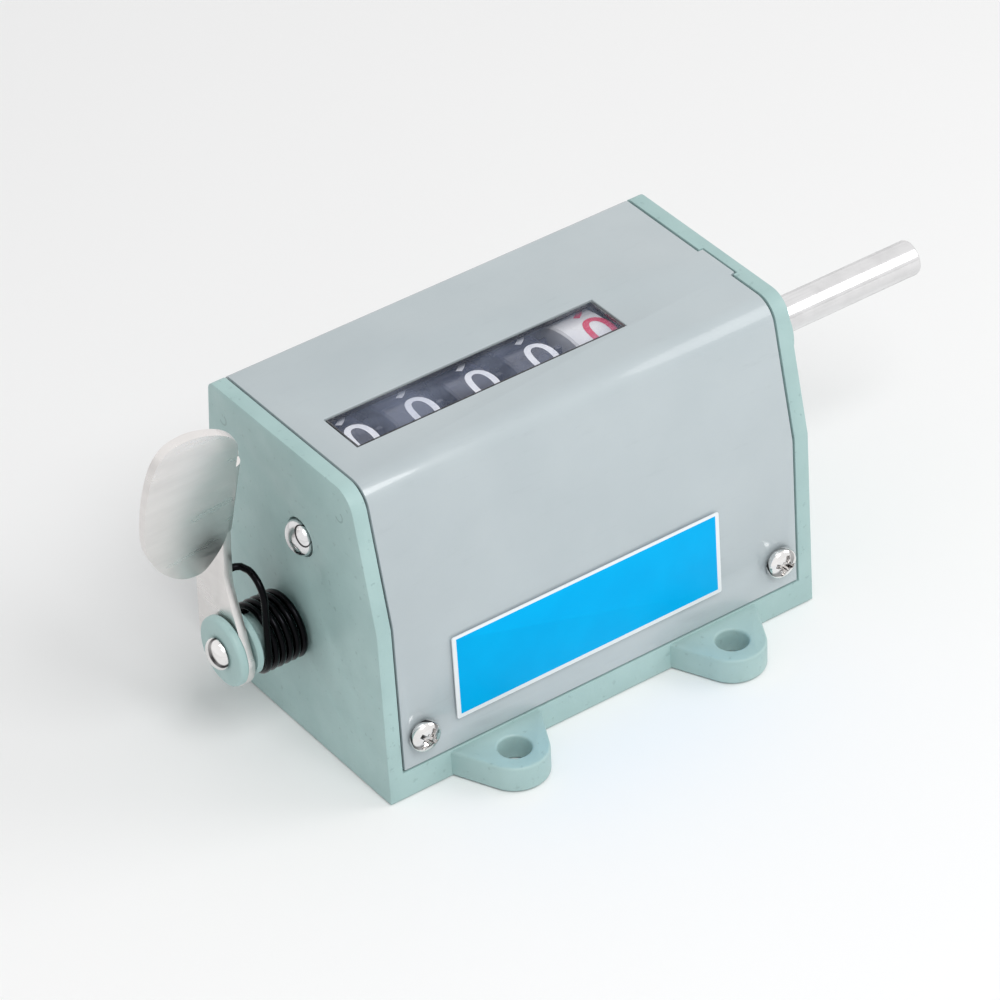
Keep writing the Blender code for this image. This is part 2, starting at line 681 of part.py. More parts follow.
def make_lens():
    lens = window_shape("window_lens", GAP, BODY_HEIGHT - SHEET,
                        BODY_HEIGHT - SHEET + LENS_THICKNESS)
    edge = lens.modifiers.new("edge", "BEVEL")
    edge.width = LENS_EDGE_RADIUS
    edge.segments = 1
    place(lens, CLEAR)


def make_label():
    """The plain label plate on the front face, which leans with it."""
    low = Vector((front_face_y(LABEL_BOTTOM), LABEL_BOTTOM))
    high = Vector((front_face_y(LABEL_TOP), LABEL_TOP))
    way = (high - low).normalized()
    out = Vector((-way.y, way.x))
    near = out * GAP
    far = out * (GAP + LABEL_THICKNESS)
    outline = [tuple(low + far), tuple(low + near), tuple(high + near), tuple(high + far)]
    place(prism("label_plate", outline, LABEL_LEFT_X, LABEL_RIGHT_X), LABEL)


def screw(name, place_at, axis_along, seat, outward, head_radius, head_height, radius, length):
    """A pan-head screw: its head stands outward of the seat, its shank goes inward."""
    crown = [(head_radius * math.cos(turn), head_height * (0.5 + 0.5 * math.sin(turn)))
             for turn in (math.radians(70), math.radians(35), 0)]
    profile = [(0, head_height), *crown, (head_radius, 0), (radius, 0), (radius, -length),
               (0, -length)]
    if outward > 0:
        placed = [(across, seat + up) for across, up in profile]
    else:
        placed = [(across, seat - up) for across, up in reversed(profile)]
    return turned(name, placed, place_at, SMALL_SEGMENTS, axis_along)


def make_cover_screws():
    """Four cross-recess screws, two in front and two at the rear."""
    seat = -front_face_y(COVER_SCREW_Z) + GAP
    for side_y, end in ((-1, "front"), (1, "rear")):
        for side_x, hand in ((-1, "left"), (1, "right")):
            name = "cover_screw_" + end + "_" + hand
            made = screw(name, (side_x * COVER_SCREW_X, COVER_SCREW_Z), "Y", side_y * seat,
                         side_y, SCREW_HEAD_RADIUS, SCREW_HEAD_HEIGHT, SCREW_SHANK_RADIUS,
                         SCREW_SHANK_LENGTH)
            top = side_y * (seat + SCREW_HEAD_HEIGHT + OVERRUN)
            low, high = sorted((top, side_y * (seat + SCREW_HEAD_HEIGHT - RECESS_DEPTH)))
            for across, up in ((RECESS_LENGTH, RECESS_WIDTH), (RECESS_WIDTH, RECESS_LENGTH)):
                cut(made, block("recess", (side_x * COVER_SCREW_X - across / 2, low,
                                           COVER_SCREW_Z - up / 2),
                                (side_x * COVER_SCREW_X + across / 2, high,
                                 COVER_SCREW_Z + up / 2)))
            place(made, NICKEL)


def make_drive_shaft():
    """The through shaft: domed at the left plate, a plain rod to the right."""
    left = -HALF_LENGTH
    dome = [(SHAFT_RADIUS * math.cos(turn), left - SHAFT_DOME_HEIGHT * math.sin(turn))
            for turn in (0, math.radians(30), math.radians(60))]
    profile = [(0, SHAFT_END_X), (SHAFT_RADIUS - SHAFT_CHAMFER, SHAFT_END_X),
               (SHAFT_RADIUS, SHAFT_END_X - SHAFT_CHAMFER), *dome, (0, left - SHAFT_DOME_HEIGHT)]
    shaft = turned("drive_shaft", profile, MAIN_AXIS)
    cut(shaft, bore((drive_pin_x(), MAIN_Y), CROSS_PIN_RADIUS + GAP,
                    MAIN_Z - SHAFT_RADIUS - OVERRUN, MAIN_Z + SHAFT_RADIUS + OVERRUN,
                    "shaft_pin_hole", SMALL_SEGMENTS, "Z"))
    place(shaft, STEEL)


def drive_pin_x():
    return INPUT_GEAR_X + INPUT_GEAR_WIDTH + DRIVE_HUB_WIDTH / 2


def make_shaft_fittings():
    """The bush in the boss, the set collar inside it and the ring at the left plate."""
    start = INNER_X - GAP - BUSH_FLANGE_THICKNESS
    flange_end = INNER_X - GAP
    sleeve = SHAFT_BORE + BUSH_WALL
    profile = [(sleeve, HALF_LENGTH + BOSS_LENGTH), (sleeve, flange_end),
               (BUSH_FLANGE_RADIUS, flange_end), (BUSH_FLANGE_RADIUS, start),
               (SHAFT_BORE, start), (SHAFT_BORE, HALF_LENGTH + BOSS_LENGTH)]
    place(turned("right_bush", profile, MAIN_AXIS, closed=True), BRONZE)
    collar_end = start - GAP
    collar_start = collar_end - COLLAR_WIDTH
    collar = ring("shaft_collar", COLLAR_RADIUS, SHAFT_BORE, collar_start, collar_end,
                  MAIN_AXIS, COLLAR_CHAMFER)
    middle = (collar_start + collar_end) / 2
    cut(collar, bore((middle, MAIN_Y), GRUB_RADIUS + GAP, MAIN_Z,
                     MAIN_Z + COLLAR_RADIUS + OVERRUN, "grub_hole", SMALL_SEGMENTS, "Z"))
    place(collar, STEEL)
    place(rod("collar_grub_screw", GRUB_RADIUS, MAIN_Z + SHAFT_BORE, MAIN_Z + COLLAR_RADIUS,
              (middle, MAIN_Y), SMALL_SEGMENTS, "Z"), BLACK_STEEL)
    place(ring("left_shaft_ring", RING_RADIUS, SHAFT_BORE, -INNER_X + GAP,
               -INNER_X + GAP + RING_WIDTH, MAIN_AXIS), STEEL)


def wheel_right_x(number):
    return UNITS_RIGHT_X - number * WHEEL_PITCH


def heart_valley():
    """The angle at which a reset finger meets its heart cam at full travel."""
    tip = finger_tip(RESET_TRAVEL)
    return math.atan2(tip[1] - MAIN_Z, tip[0] - MAIN_Y)


def finger_geometry():
    """How far the finger's tip reaches, and its angle at full travel, about the reset axis."""
    standoff = HEART_LOW_RADIUS + FINGER_HEART_CLEARANCE
    away = math.atan2(-RESET_DROP, RESET_OFFSET_Y) + FINGER_LEAN
    tip = Vector((MAIN_Y + standoff * math.cos(away), MAIN_Z + standoff * math.sin(away)))
    arm = tip - Vector(RESET_AXIS)
    return arm.length, math.atan2(arm.y, arm.x)


def finger_tip(travel):
    reach, full = finger_geometry()
    turn = full - RESET_TRAVEL + travel
    return (RESET_AXIS[0] + reach * math.cos(turn), RESET_AXIS[1] + reach * math.sin(turn))


def make_number_wheel(number):
    """A drum with its heart cam, transfer gear and two-tooth carry plate, in one moulding."""
    right = wheel_right_x(number)
    left = right - WHEEL_WIDTH
    name = "number_wheel_" + WHEEL_NAMES[number]
    wheel = chamfered_rod(name, WHEEL_RADIUS, left, right, MAIN_AXIS, WHEEL_CHAMFER,
                          FINE_SEGMENTS)
    heart_end = right + HEART_THICKNESS
    heart_lap = LAP if number > 0 else 0
    join(wheel, prism(name + "_heart", heart_outline(heart_valley(), MAIN_AXIS), right - LAP,
                      heart_end + heart_lap))
    gear_end = heart_end
    if number > 0:
        gear_end = heart_end + TRANSFER_THICKNESS
        join(wheel, prism(name + "_gear", gear_outline(TRANSFER_TEETH, TRANSFER_MODULE,
                                                       TRANSFER_ROD_DIRECTION, MAIN_AXIS),
                          heart_end, gear_end))
    last = len(WHEEL_NAMES) - 1
    if number < last:
        facing = TRANSFER_ROD_DIRECTION - CARRY_CLEAR_TURN - 2 * math.pi / TRANSFER_TEETH
        join(wheel, prism(name + "_carry", carry_outline(TRANSFER_MODULE, facing, MAIN_AXIS),
                          left - SECTOR_THICKNESS, left + LAP))
    cut(wheel, bore(MAIN_AXIS, SHAFT_BORE, left - SECTOR_THICKNESS - OVERRUN,
                    gear_end + OVERRUN, name + "_bore"))
    place(wheel, UNITS_PLASTIC if number == 0 else WHEEL_PLASTIC)


def make_transfer_pinion(number):
    """The pinion between a wheel and the next higher one, on the bail's rod."""
    start = wheel_right_x(number) + HEART_THICKNESS - GAP / 2
    end = wheel_right_x(number - 1) - WHEEL_WIDTH - GAP
    facing = TRANSFER_ROD_DIRECTION + math.pi + math.pi / TRANSFER_PINION_TEETH
    pinion = prism("transfer_pinion_" + WHEEL_NAMES[number],
                   gear_outline(TRANSFER_PINION_TEETH, TRANSFER_MODULE, facing, ROD_AXIS, 1),
                   start, end)
    cut(pinion, bore(ROD_AXIS, TRANSFER_ROD_RADIUS + GAP, start - OVERRUN, end + OVERRUN,
                     "pinion_bore_" + WHEEL_NAMES[number], SMALL_SEGMENTS))
    place(pinion, BRASS)


def make_input_gears():
    """Drive pinion with its cross pin, counter gear on its spindle, and the units gear."""
    hub_end = INPUT_GEAR_X + INPUT_GEAR_WIDTH + DRIVE_HUB_WIDTH
    hub_start = INPUT_GEAR_X + INPUT_GEAR_WIDTH + GAP
    pinion = rod("drive_pinion", DRIVE_HUB_RADIUS, hub_start, hub_end, MAIN_AXIS)
    facing = INPUT_DIRECTION
    join(pinion, prism("drive_teeth", gear_outline(DRIVE_TEETH, DRIVE_MODULE, facing,
                                                   MAIN_AXIS, 1),
                       INPUT_GEAR_X, hub_start + GAP))
    cut(pinion, bore(MAIN_AXIS, SHAFT_BORE, INPUT_GEAR_X - OVERRUN, hub_end + OVERRUN,
                     "drive_bore"),
        bore((drive_pin_x(), MAIN_Y), CROSS_PIN_RADIUS + GAP, MAIN_Z - DRIVE_HUB_RADIUS - OVERRUN,
             MAIN_Z + DRIVE_HUB_RADIUS + OVERRUN, "hub_pin_hole", SMALL_SEGMENTS, "Z"))
    place(pinion, BRASS)
    place(rod("drive_pinion_pin", CROSS_PIN_RADIUS, MAIN_Z - DRIVE_HUB_RADIUS,
              MAIN_Z + DRIVE_HUB_RADIUS, (drive_pin_x(), MAIN_Y), SMALL_SEGMENTS, "Z"), STEEL)
    place(make_counter_gear(), BRASS)
    units = prism("units_drive_gear", gear_outline(UNITS_GEAR_TEETH, UNITS_MODULE,
                                                   INPUT_DIRECTION, MAIN_AXIS),
                  UNITS_GEAR_X, UNITS_GEAR_END_X)
    cut(units, bore(MAIN_AXIS, SHAFT_BORE, UNITS_GEAR_X - OVERRUN, UNITS_GEAR_END_X + OVERRUN,
                    "units_gear_bore"))
    place(units, BRASS)
    rise = UNITS_GEAR_END_X + GAP
    profile = [(SHAFT_BORE + WASHER_THICKNESS, rise + WASHER_RISE + WASHER_THICKNESS),
               (WASHER_RADIUS, rise + WASHER_THICKNESS), (WASHER_RADIUS, rise),
               (SHAFT_BORE, rise + WASHER_RISE),
               (SHAFT_BORE, rise + WASHER_RISE + WASHER_THICKNESS)]
    place(turned("clutch_spring_washer", profile, MAIN_AXIS, closed=True), STEEL)


def make_counter_gear():
    """The compound gear: ten teeth, a hub that runs in the bracket, thirty teeth, a spindle."""
    pinion_start = UNITS_GEAR_X - COUNTER_PINION_MARGIN
    pinion_end = UNITS_GEAR_END_X + COUNTER_PINION_MARGIN
    gear_end = INPUT_GEAR_X + INPUT_GEAR_WIDTH
    tip = INNER_X + COUNTER_SPINDLE_SEAT
    profile = [(0, tip), (COUNTER_SPINDLE_RADIUS, tip), (COUNTER_SPINDLE_RADIUS, gear_end),
               (COUNTER_HUB_RADIUS, gear_end), (COUNTER_HUB_RADIUS, BRACKET_X),
               (COUNTER_SPINDLE_RADIUS, BRACKET_X),
               (COUNTER_SPINDLE_RADIUS, pinion_start + LAP), (0, pinion_start + LAP)]
    gear = turned("counter_gear", profile, COUNTER_AXIS)
    behind = INPUT_DIRECTION + math.pi
    join(gear, prism("counter_pinion", gear_outline(COUNTER_PINION_TEETH, UNITS_MODULE,
                                                    behind + math.pi / COUNTER_PINION_TEETH,
                                                    COUNTER_AXIS, 1), pinion_start, pinion_end),
         prism("counter_teeth", gear_outline(COUNTER_TEETH, DRIVE_MODULE,
                                             behind + math.pi / COUNTER_TEETH, COUNTER_AXIS),
               INPUT_GEAR_X, gear_end - LAP))
    return gear


def make_reset_shaft():
    """The reset shaft with its domed head outside the lever."""
    seat = LEVER_OUTER_X - GAP - LEVER_DISC_THICKNESS - GAP
    dome = [(LEVER_HEAD_RADIUS * math.cos(turn), seat - LEVER_HEAD_HEIGHT * math.sin(turn))
            for turn in (0, math.radians(30), math.radians(60))]
    profile = [(0, BRACKET_END_X), (RESET_SHAFT_RADIUS, BRACKET_END_X),
               (RESET_SHAFT_RADIUS, seat), *dome, (0, seat - LEVER_HEAD_HEIGHT)]
    place(turned("reset_shaft", profile, RESET_AXIS), NICKEL)


def finger_outline(end):
    """A round boss about the reset axis with a blade that narrows to a rounded tip."""
    apart = math.hypot(end[0] - RESET_AXIS[0], end[1] - RESET_AXIS[1])
    way = math.atan2(end[1] - RESET_AXIS[1], end[0] - RESET_AXIS[0])
    lean = math.acos((FINGER_ROOT_HALF_WIDTH - FINGER_TIP_HALF_WIDTH) / apart)
    leave = lean - math.acos(FINGER_ROOT_HALF_WIDTH / FINGER_BOSS_RADIUS)
    return (arc(end, FINGER_TIP_HALF_WIDTH, way - lean, way + lean, 2 * ARC_STEPS)
            + arc(RESET_AXIS, FINGER_BOSS_RADIUS, way + leave, way + 2 * math.pi - leave,
                  5 * ARC_STEPS))


def make_finger(number):
    """The arm on the reset shaft that turns one wheel to zero by its heart cam."""
    start = wheel_right_x(number) + GAP
    reach, full = finger_geometry()
    rest = full - RESET_TRAVEL
    end = (RESET_AXIS[0] + (reach - FINGER_TIP_HALF_WIDTH) * math.cos(rest),
           RESET_AXIS[1] + (reach - FINGER_TIP_HALF_WIDTH) * math.sin(rest))
    name = "reset_finger_" + WHEEL_NAMES[number]
    finger = prism(name, finger_outline(end), start, start + FINGER_THICKNESS)
    cut(finger, bore(RESET_AXIS, RESET_SHAFT_RADIUS + GAP, start - OVERRUN,
                     start + FINGER_THICKNESS + OVERRUN, name + "_bore"))
    place(finger, STEEL)


def make_bail():
    """Two arms on the reset shaft and the rod between them that carries the pinions."""
    for name, start in (("bail_arm_left", BAIL_LEFT_X), ("bail_arm_right", BAIL_RIGHT_X)):
        end = start + BAIL_THICKNESS
        arm = prism(name, capsule(RESET_AXIS, BAIL_SHAFT_BOSS_RADIUS, ROD_AXIS,
                                  BAIL_ROD_BOSS_RADIUS), start, end)
        cut(arm, bore(RESET_AXIS, RESET_SHAFT_RADIUS + GAP, start - OVERRUN, end + OVERRUN,
                      name + "_shaft_hole"),
            bore(ROD_AXIS, TRANSFER_ROD_RADIUS + GAP, start - OVERRUN, end + OVERRUN,
                 name + "_rod_hole", SMALL_SEGMENTS))
        place(arm, STEEL)
    place(rod("transfer_pinion_rod", TRANSFER_ROD_RADIUS, BAIL_LEFT_X,
              BAIL_RIGHT_X + BAIL_THICKNESS, ROD_AXIS, SMALL_SEGMENTS), STEEL)


def make_bracket():
    """The inner bearing plate on its foot, and the foot's two screws."""
    path = body_path(BRACKET_WALL_GAP)
    low = FLOOR_TOP + GAP
    half_low = FOOT_HALF_WIDTH
    outline = [(-half_low, low), (half_low, low), (path[-2][0] - GAP, KINK_HEIGHT),
               (path[-2][0] - GAP - KINK_SETBACK, BRACKET_TOP),
               (path[1][0] + GAP + FRONT_TOP_SETBACK, BRACKET_TOP),
               (path[1][0] + GAP, KINK_HEIGHT)]
    bracket = prism("bearing_bracket", outline, BRACKET_X, BRACKET_END_X)
    foot_top = low + BRACKET_THICKNESS
    join(bracket, block("bracket_foot", (BRACKET_X + LAP, -half_low, low),
                        (FOOT_END_X, half_low, foot_top)))
    first, last = BRACKET_X - OVERRUN, BRACKET_END_X + OVERRUN
    cut(bracket, bore(MAIN_AXIS, SHAFT_BORE, first, last, "bracket_shaft_hole"),
        bore(COUNTER_AXIS, COUNTER_HUB_RADIUS + GAP, first, last, "bracket_counter_hole"),
        bore(RESET_AXIS, RESET_SHAFT_RADIUS + GAP, first, last, "bracket_reset_hole"))
    for side, end in ((-1, "front"), (1, "rear")):
        spot = (FOOT_SCREW_X, side * FOOT_SCREW_Y)
        cut(bracket, bore(spot, FOOT_SCREW_RADIUS + GAP, low - OVERRUN, foot_top + OVERRUN,
                          "foot_hole_" + end, SMALL_SEGMENTS, "Z"))
        cut(bpy.data.objects["frame_casting"],
            bore(spot, FOOT_SCREW_RADIUS + GAP, foot_top - FOOT_SCREW_LENGTH, FLOOR_TOP + OVERRUN,
                 "floor_hole_" + end, SMALL_SEGMENTS, "Z"))
        place(screw("bracket_screw_" + end, spot, "Z", foot_top + GAP, 1,
                    FOOT_SCREW_HEAD_RADIUS, FOOT_SCREW_HEAD_HEIGHT, FOOT_SCREW_RADIUS,
                    FOOT_SCREW_LENGTH), NICKEL)
    place(bracket, ZINC)


def make_lever_hub():
    """The green spool under the spring and the green disc outside the lever."""
    start = -HALF_LENGTH - GAP
    hole = RESET_SHAFT_RADIUS + GAP
    profile = [(SPOOL_RADIUS, start), (SPOOL_RADIUS, FLANGE_X), (FLANGE_RADIUS, FLANGE_X),
               (FLANGE_RADIUS, FLANGE_X - FLANGE_THICKNESS), (hole, FLANGE_X - FLANGE_THICKNESS),
               (hole, start)]
    place(turned("lever_hub", profile, RESET_AXIS, closed=True), CASTING)
    outer = LEVER_OUTER_X - GAP
    place(ring("lever_disc", LEVER_DISC_RADIUS, hole, outer - LEVER_DISC_THICKNESS, outer,
               RESET_AXIS, LEVER_DISC_CHAMFER), CASTING)


def bend_frame():
    """The middle of the lever's bend and the direction that the bend line leans in."""
    middle = Vector((RESET_AXIS[0] + BEND_SHIFT, RESET_AXIS[1] + BEND_LIFT))
    way = Vector((-math.sin(BEND_LEAN), math.cos(BEND_LEAN)))
    return middle, way


def lever_outline():
    """The lever's arm: a round foot, a neck and a top whose front edge is the bend."""
    pivot = Vector(RESET_AXIS)
    foot = pivot + Vector((LEVER_FOOT_SHIFT, -LEVER_FOOT_DROP))
    neck = pivot + Vector((LEVER_NECK_SHIFT, LEVER_NECK_LIFT))
    front_neck = neck - Vector((LEVER_NECK_HALF_WIDTH, 0))
    rear_neck = neck + Vector((LEVER_NECK_HALF_WIDTH, 0))
    middle, way = bend_frame()
    side = Vector((way.y, -way.x))
    inner = middle + side * BEND_RADIUS
    low, high = inner - way * BEND_HALF_LENGTH, inner + way * BEND_HALF_LENGTH
    back_low = low + side * (LEVER_TOP_WIDTH - BEND_RADIUS)
    corner_front = high + way * LEVER_TOP_RADIUS
    corner_back = corner_front + Vector((LEVER_TOP_WIDTH - BEND_RADIUS, -LEVER_TOP_FALL))
    top = rounded(high, corner_front, corner_back, LEVER_TOP_RADIUS)
    top += rounded(corner_front, corner_back, back_low, LEVER_TOP_RADIUS)
    bottom = arc(foot, LEVER_FOOT_RADIUS, 0, -math.pi, 4 * ARC_STEPS)
    shape = bottom + [tuple(front_neck), tuple(low), *top, tuple(back_low), tuple(rear_neck)]
    return list(reversed(shape))


def smoothed(points):
    """A closed outline with a point added on a smooth curve between each two."""
    count = len(points)
    spots = [Vector(point) for point in points]
    outline = []
    for number in range(count):
        before, here = spots[number - 1], spots[number]
        after, beyond = spots[(number + 1) % count], spots[(number + 2) % count]
        outline.append(tuple(here))
        outline.append(tuple((9 * (here + after) - before - beyond) / 16))
    return outline


def pad_outline():
    """The thumb pad, drawn outward from the bend and along it."""
    points = [(out * PAD_WIDTH, along * PAD_LENGTH) for out, along in PAD_OUTLINE_SHARES]
    return [(max(out, BEND_RADIUS), along) for out, along in smoothed(points)]


def make_lever():
    """The nickel lever: a flat arm with a thumb pad bent outward from its front edge."""
    lever = prism("reset_lever", lever_outline(), LEVER_OUTER_X, LEVER_X)
    middle, way = bend_frame()
    side = Vector((way.y, -way.x))
    corner = middle + side * BEND_RADIUS
    lean = Matrix(((-1, 0, 0, LEVER_X), (0, way.x, -side.x, middle.x),
                   (0, way.y, -side.y, middle.y), (0, 0, 0, 1)))
    join(lever, prism("lever_pad", pad_outline(), -LEVER_THICKNESS, 0, lean))
    along = lean @ Matrix.Translation((BEND_RADIUS, 0, -BEND_RADIUS)) \
        @ Matrix.Rotation(-math.pi / 2, 4, "X")
    bend = rod("lever_bend", BEND_RADIUS, -BEND_HALF_LENGTH, BEND_HALF_LENGTH, corner,
               SMALL_SEGMENTS)
    bend.matrix_world = along
    join(lever, bend)
    cut(lever, bore(RESET_AXIS, RESET_SHAFT_RADIUS + GAP, LEVER_OUTER_X - OVERRUN,
                    LEVER_X + OVERRUN, "lever_hole"))
    place(lever, NICKEL)


def spring_path():
    """The wire's centre line: leg, curls and the tail that ends at the lever."""
    first_x = -HALF_LENGTH - GAP - WIRE_RADIUS
    steps = round(COIL_TURNS * POINTS_PER_CURL)
    start_turn = math.pi + COIL_TURNS * 2 * math.pi
    coil = []
    for number in range(steps + 1):
        turned_by = 2 * math.pi * number / POINTS_PER_CURL
        turn = start_turn - turned_by
        coil.append(Vector((first_x - COIL_PITCH * number / POINTS_PER_CURL,
                            RESET_AXIS[0] + COIL_RADIUS * math.cos(turn),
                            RESET_AXIS[1] + COIL_RADIUS * math.sin(turn))))
    leg = [coil[0] + Vector((0, LEG_LENGTH * share, 0)) for share in (1, 1 / 2)]
    last = coil[-1]
    end_x = LEVER_X + GAP
    drift = end_x + WIRE_RADIUS + TAIL_REACH - last.x
    rise = [last + Vector((0, 0, TAIL_CLIMB * share)) for share in (1 / 2, 1)]
    centre = rise[-1] + Vector((0, TAIL_BEND_RADIUS, 0))
    hook = [centre + Vector((0, -TAIL_BEND_RADIUS * math.cos(turn),
                             TAIL_BEND_RADIUS * math.sin(turn)))
            for turn in (math.radians(30), math.radians(60), math.radians(90))]
    corner = hook[-1] + Vector((min(drift, 0), TAIL_REACH, 0))
    tip = Vector((end_x, corner.y, corner.z))
    return leg + coil + rise + hook + [corner, tip]


def least_gap(path, radius):
    """The least clear distance between stretches of wire that don't follow each other."""
    reach = POINTS_PER_CURL // 2
    near = min((first - second).length for number, first in enumerate(path)
               for second in path[number + reach:])
    return near - 2 * radius


def make_spring():
    path = spring_path()
    gap = least_gap(path, WIRE_RADIUS)
    print("reset_spring least gap to itself %.3f mm" % (gap * 1000))
    curve = bpy.data.curves.new("reset_spring", "CURVE")
    curve.dimensions = "3D"
    curve.bevel_depth = WIRE_RADIUS
    curve.bevel_resolution = 1
    curve.use_fill_caps = True
    spline = curve.splines.new("POLY")
    spline.points.add(len(path) - 1)
    for point, spot in zip(spline.points, path):
        point.co = (*spot, 1)
    place(from_curve("reset_spring", curve, Matrix()), BLACK_STEEL)
    pin_y = RESET_AXIS[0] + LEG_LENGTH - ANCHOR_RADIUS
    pin_z = RESET_AXIS[1] - COIL_RADIUS - WIRE_RADIUS - GAP - ANCHOR_RADIUS
    place(rod("spring_anchor_pin", ANCHOR_RADIUS, -HALF_LENGTH - GAP - ANCHOR_LENGTH,
              -HALF_LENGTH - GAP, (pin_y, pin_z), SMALL_SEGMENTS), NICKEL)


# The finger meets the heart a little to the rear of the line to the reset axis
FINGER_LEAN = math.radians(24.0)

clear_scene()
PARTS = make_collection("mechanical_stroke_counter")
TOOLS = make_collection("shape_tools")
CASTING = make_material("green_casting_paint", (0.36, 0.48, 0.48), 0.45)
COVER_PAINT = make_material("grey_cover_paint", (0.46, 0.53, 0.56), 0.45)
CLEAR = make_material("clear_plastic", (0.85, 0.88, 0.90), 0.08, alpha=0.35)
LABEL = make_material("blue_label", (0.0, 0.46, 0.84), 0.35)
NICKEL = make_material("nickel_plate", (0.68, 0.65, 0.62), 0.25, 1.0)
STEEL = make_material("bright_steel", (0.72, 0.72, 0.73), 0.2, 1.0)
BLACK_STEEL = make_material("blackened_steel", (0.02, 0.02, 0.02), 0.4, 0.6)
BRASS = make_material("brass", (0.72, 0.55, 0.24), 0.3, 1.0)
BRONZE = make_material("bronze", (0.55, 0.36, 0.18), 0.4, 1.0)
ZINC = make_material("zinc_plate", (0.60, 0.61, 0.62), 0.35, 1.0)
WHEEL_PLASTIC = make_material("black_plastic", (0.02, 0.02, 0.03), 0.3)
UNITS_PLASTIC = make_material("white_plastic", (0.82, 0.82, 0.84), 0.3)

make_frame()
make_cover()
make_lens()
make_label()
make_cover_screws()
make_drive_shaft()
make_shaft_fittings()
for wheel_number in range(len(WHEEL_NAMES)):
    make_number_wheel(wheel_number)
    make_finger(wheel_number)
for wheel_number in range(1, len(WHEEL_NAMES)):
    make_transfer_pinion(wheel_number)
make_input_gears()
make_reset_shaft()
make_bail()
make_bracket()
make_lever_hub()
make_lever()
make_spring()
for part in PARTS.objects:
    smooth(part)
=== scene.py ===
"""Looks of the mechanical stroke counter: rounded edges, paints, numbers, light and camera."""
import math

import bmesh
import bpy
from mathutils import Matrix, Vector


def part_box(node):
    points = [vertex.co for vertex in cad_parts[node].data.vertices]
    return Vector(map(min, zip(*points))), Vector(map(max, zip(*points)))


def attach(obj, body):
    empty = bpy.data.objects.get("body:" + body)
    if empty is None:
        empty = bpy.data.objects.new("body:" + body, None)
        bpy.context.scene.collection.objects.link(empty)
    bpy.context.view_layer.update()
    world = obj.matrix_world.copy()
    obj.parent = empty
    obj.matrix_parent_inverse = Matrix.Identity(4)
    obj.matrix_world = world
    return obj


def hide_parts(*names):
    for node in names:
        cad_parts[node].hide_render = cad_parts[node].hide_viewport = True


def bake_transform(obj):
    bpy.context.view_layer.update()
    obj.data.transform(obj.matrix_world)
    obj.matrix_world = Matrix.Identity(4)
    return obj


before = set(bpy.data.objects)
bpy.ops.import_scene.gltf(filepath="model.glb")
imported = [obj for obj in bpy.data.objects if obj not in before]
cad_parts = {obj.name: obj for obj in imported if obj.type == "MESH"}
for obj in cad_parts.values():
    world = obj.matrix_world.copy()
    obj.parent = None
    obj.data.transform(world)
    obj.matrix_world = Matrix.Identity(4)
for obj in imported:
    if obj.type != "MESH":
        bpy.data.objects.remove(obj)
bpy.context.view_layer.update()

# Sizes of the counter, in metres, as in the part's source
HALF_LENGTH, HALF_DEPTH, HEIGHT = 0.04235, 0.02425, 0.0570
PLATE, FLOOR = 0.0027, 0.0049
INNER_X = HALF_LENGTH - PLATE
SHEET, COVER_GAP, GAP = 0.0010, 0.0004, 0.0003

# The cross-section: the bend in each face, and the two rounded top corners
KINK_HEIGHT, KINK_SETBACK = 0.0330, 0.00105
FRONT_SETBACK, REAR_SETBACK = 0.0064, 0.0032
FRONT_ROUND, REAR_ROUND = 0.0045, 0.0016

# The cover's tab at the right plate, and its four screws
TAB_REACH, TAB_HALF = 0.00095, 0.0042
SCREW_X, SCREW_HEIGHT = 0.0355, 0.0110
HEAD_RADIUS, HEAD_HEIGHT, SHANK_RADIUS = 0.00275, 0.0019, 0.0015

# The fixing ears
EAR_X, EAR_Y, EAR_RADIUS, EAR_ROOT, EAR_HEIGHT = 0.02175, 0.02925, 0.0057, 0.00875, 0.0047
EAR_HOLE, EAR_FLARE = 0.00275, 0.005

# The axes as (y, z), with what turns on them
MAIN, RESET = (-0.0030, 0.0405), (0.0014, 0.0215)
BOSS_BORE, ROD_RADIUS, ROD_END = 0.0043, 0.0031, 0.0800
RESET_BORE, DISC_RADIUS = 0.0023, 0.0060
DRUM_RADIUS, DRUM_WIDTH, DRUM_PITCH = 0.0150, 0.0078, 0.0115
UNITS_RIGHT = 0.0176
WHEELS = ("units", "tens", "hundreds", "thousands", "ten_thousands")

# The printed numbers: letter size, width share, inset from the drum's right end, and the
# turn of the number 0 in degrees
NUMBER_SIZE, NUMBER_WIDTH, NUMBER_INSET, NUMBER_TURN = 0.0118, 0.93, 0.00235, 98.4

# The lever: its plate's faces, the bend's radius and half length, its lean, and the pad's
# reach from the bend and the length that its outline is drawn to
LEVER_OUTER, LEVER_INNER = -0.0540, -0.0525
BEND, BEND_HALF, LEAN = 0.0015, 0.0078, 15.4
PAD_REACH, PAD_LENGTH = 0.01777, 0.03455
PAD = ((0.00, -0.20), (0.00, 0.00), (0.00, 0.21), (0.02, 0.31), (0.11, 0.40), (0.25, 0.48),
       (0.42, 0.53), (0.62, 0.56), (0.81, 0.545), (0.91, 0.49), (0.97, 0.40), (1.00, 0.23),
       (0.985, 0.03), (0.93, -0.13), (0.80, -0.27), (0.64, -0.37), (0.48, -0.43),
       (0.31, -0.44), (0.20, -0.38), (0.11, -0.29))

# The reset spring: curls, coil radius, rise per curl and wire radius
CURLS, COIL_RADIUS, COIL_PITCH, WIRE_RADIUS = 5.25, 0.0054, 0.00134, 0.00061


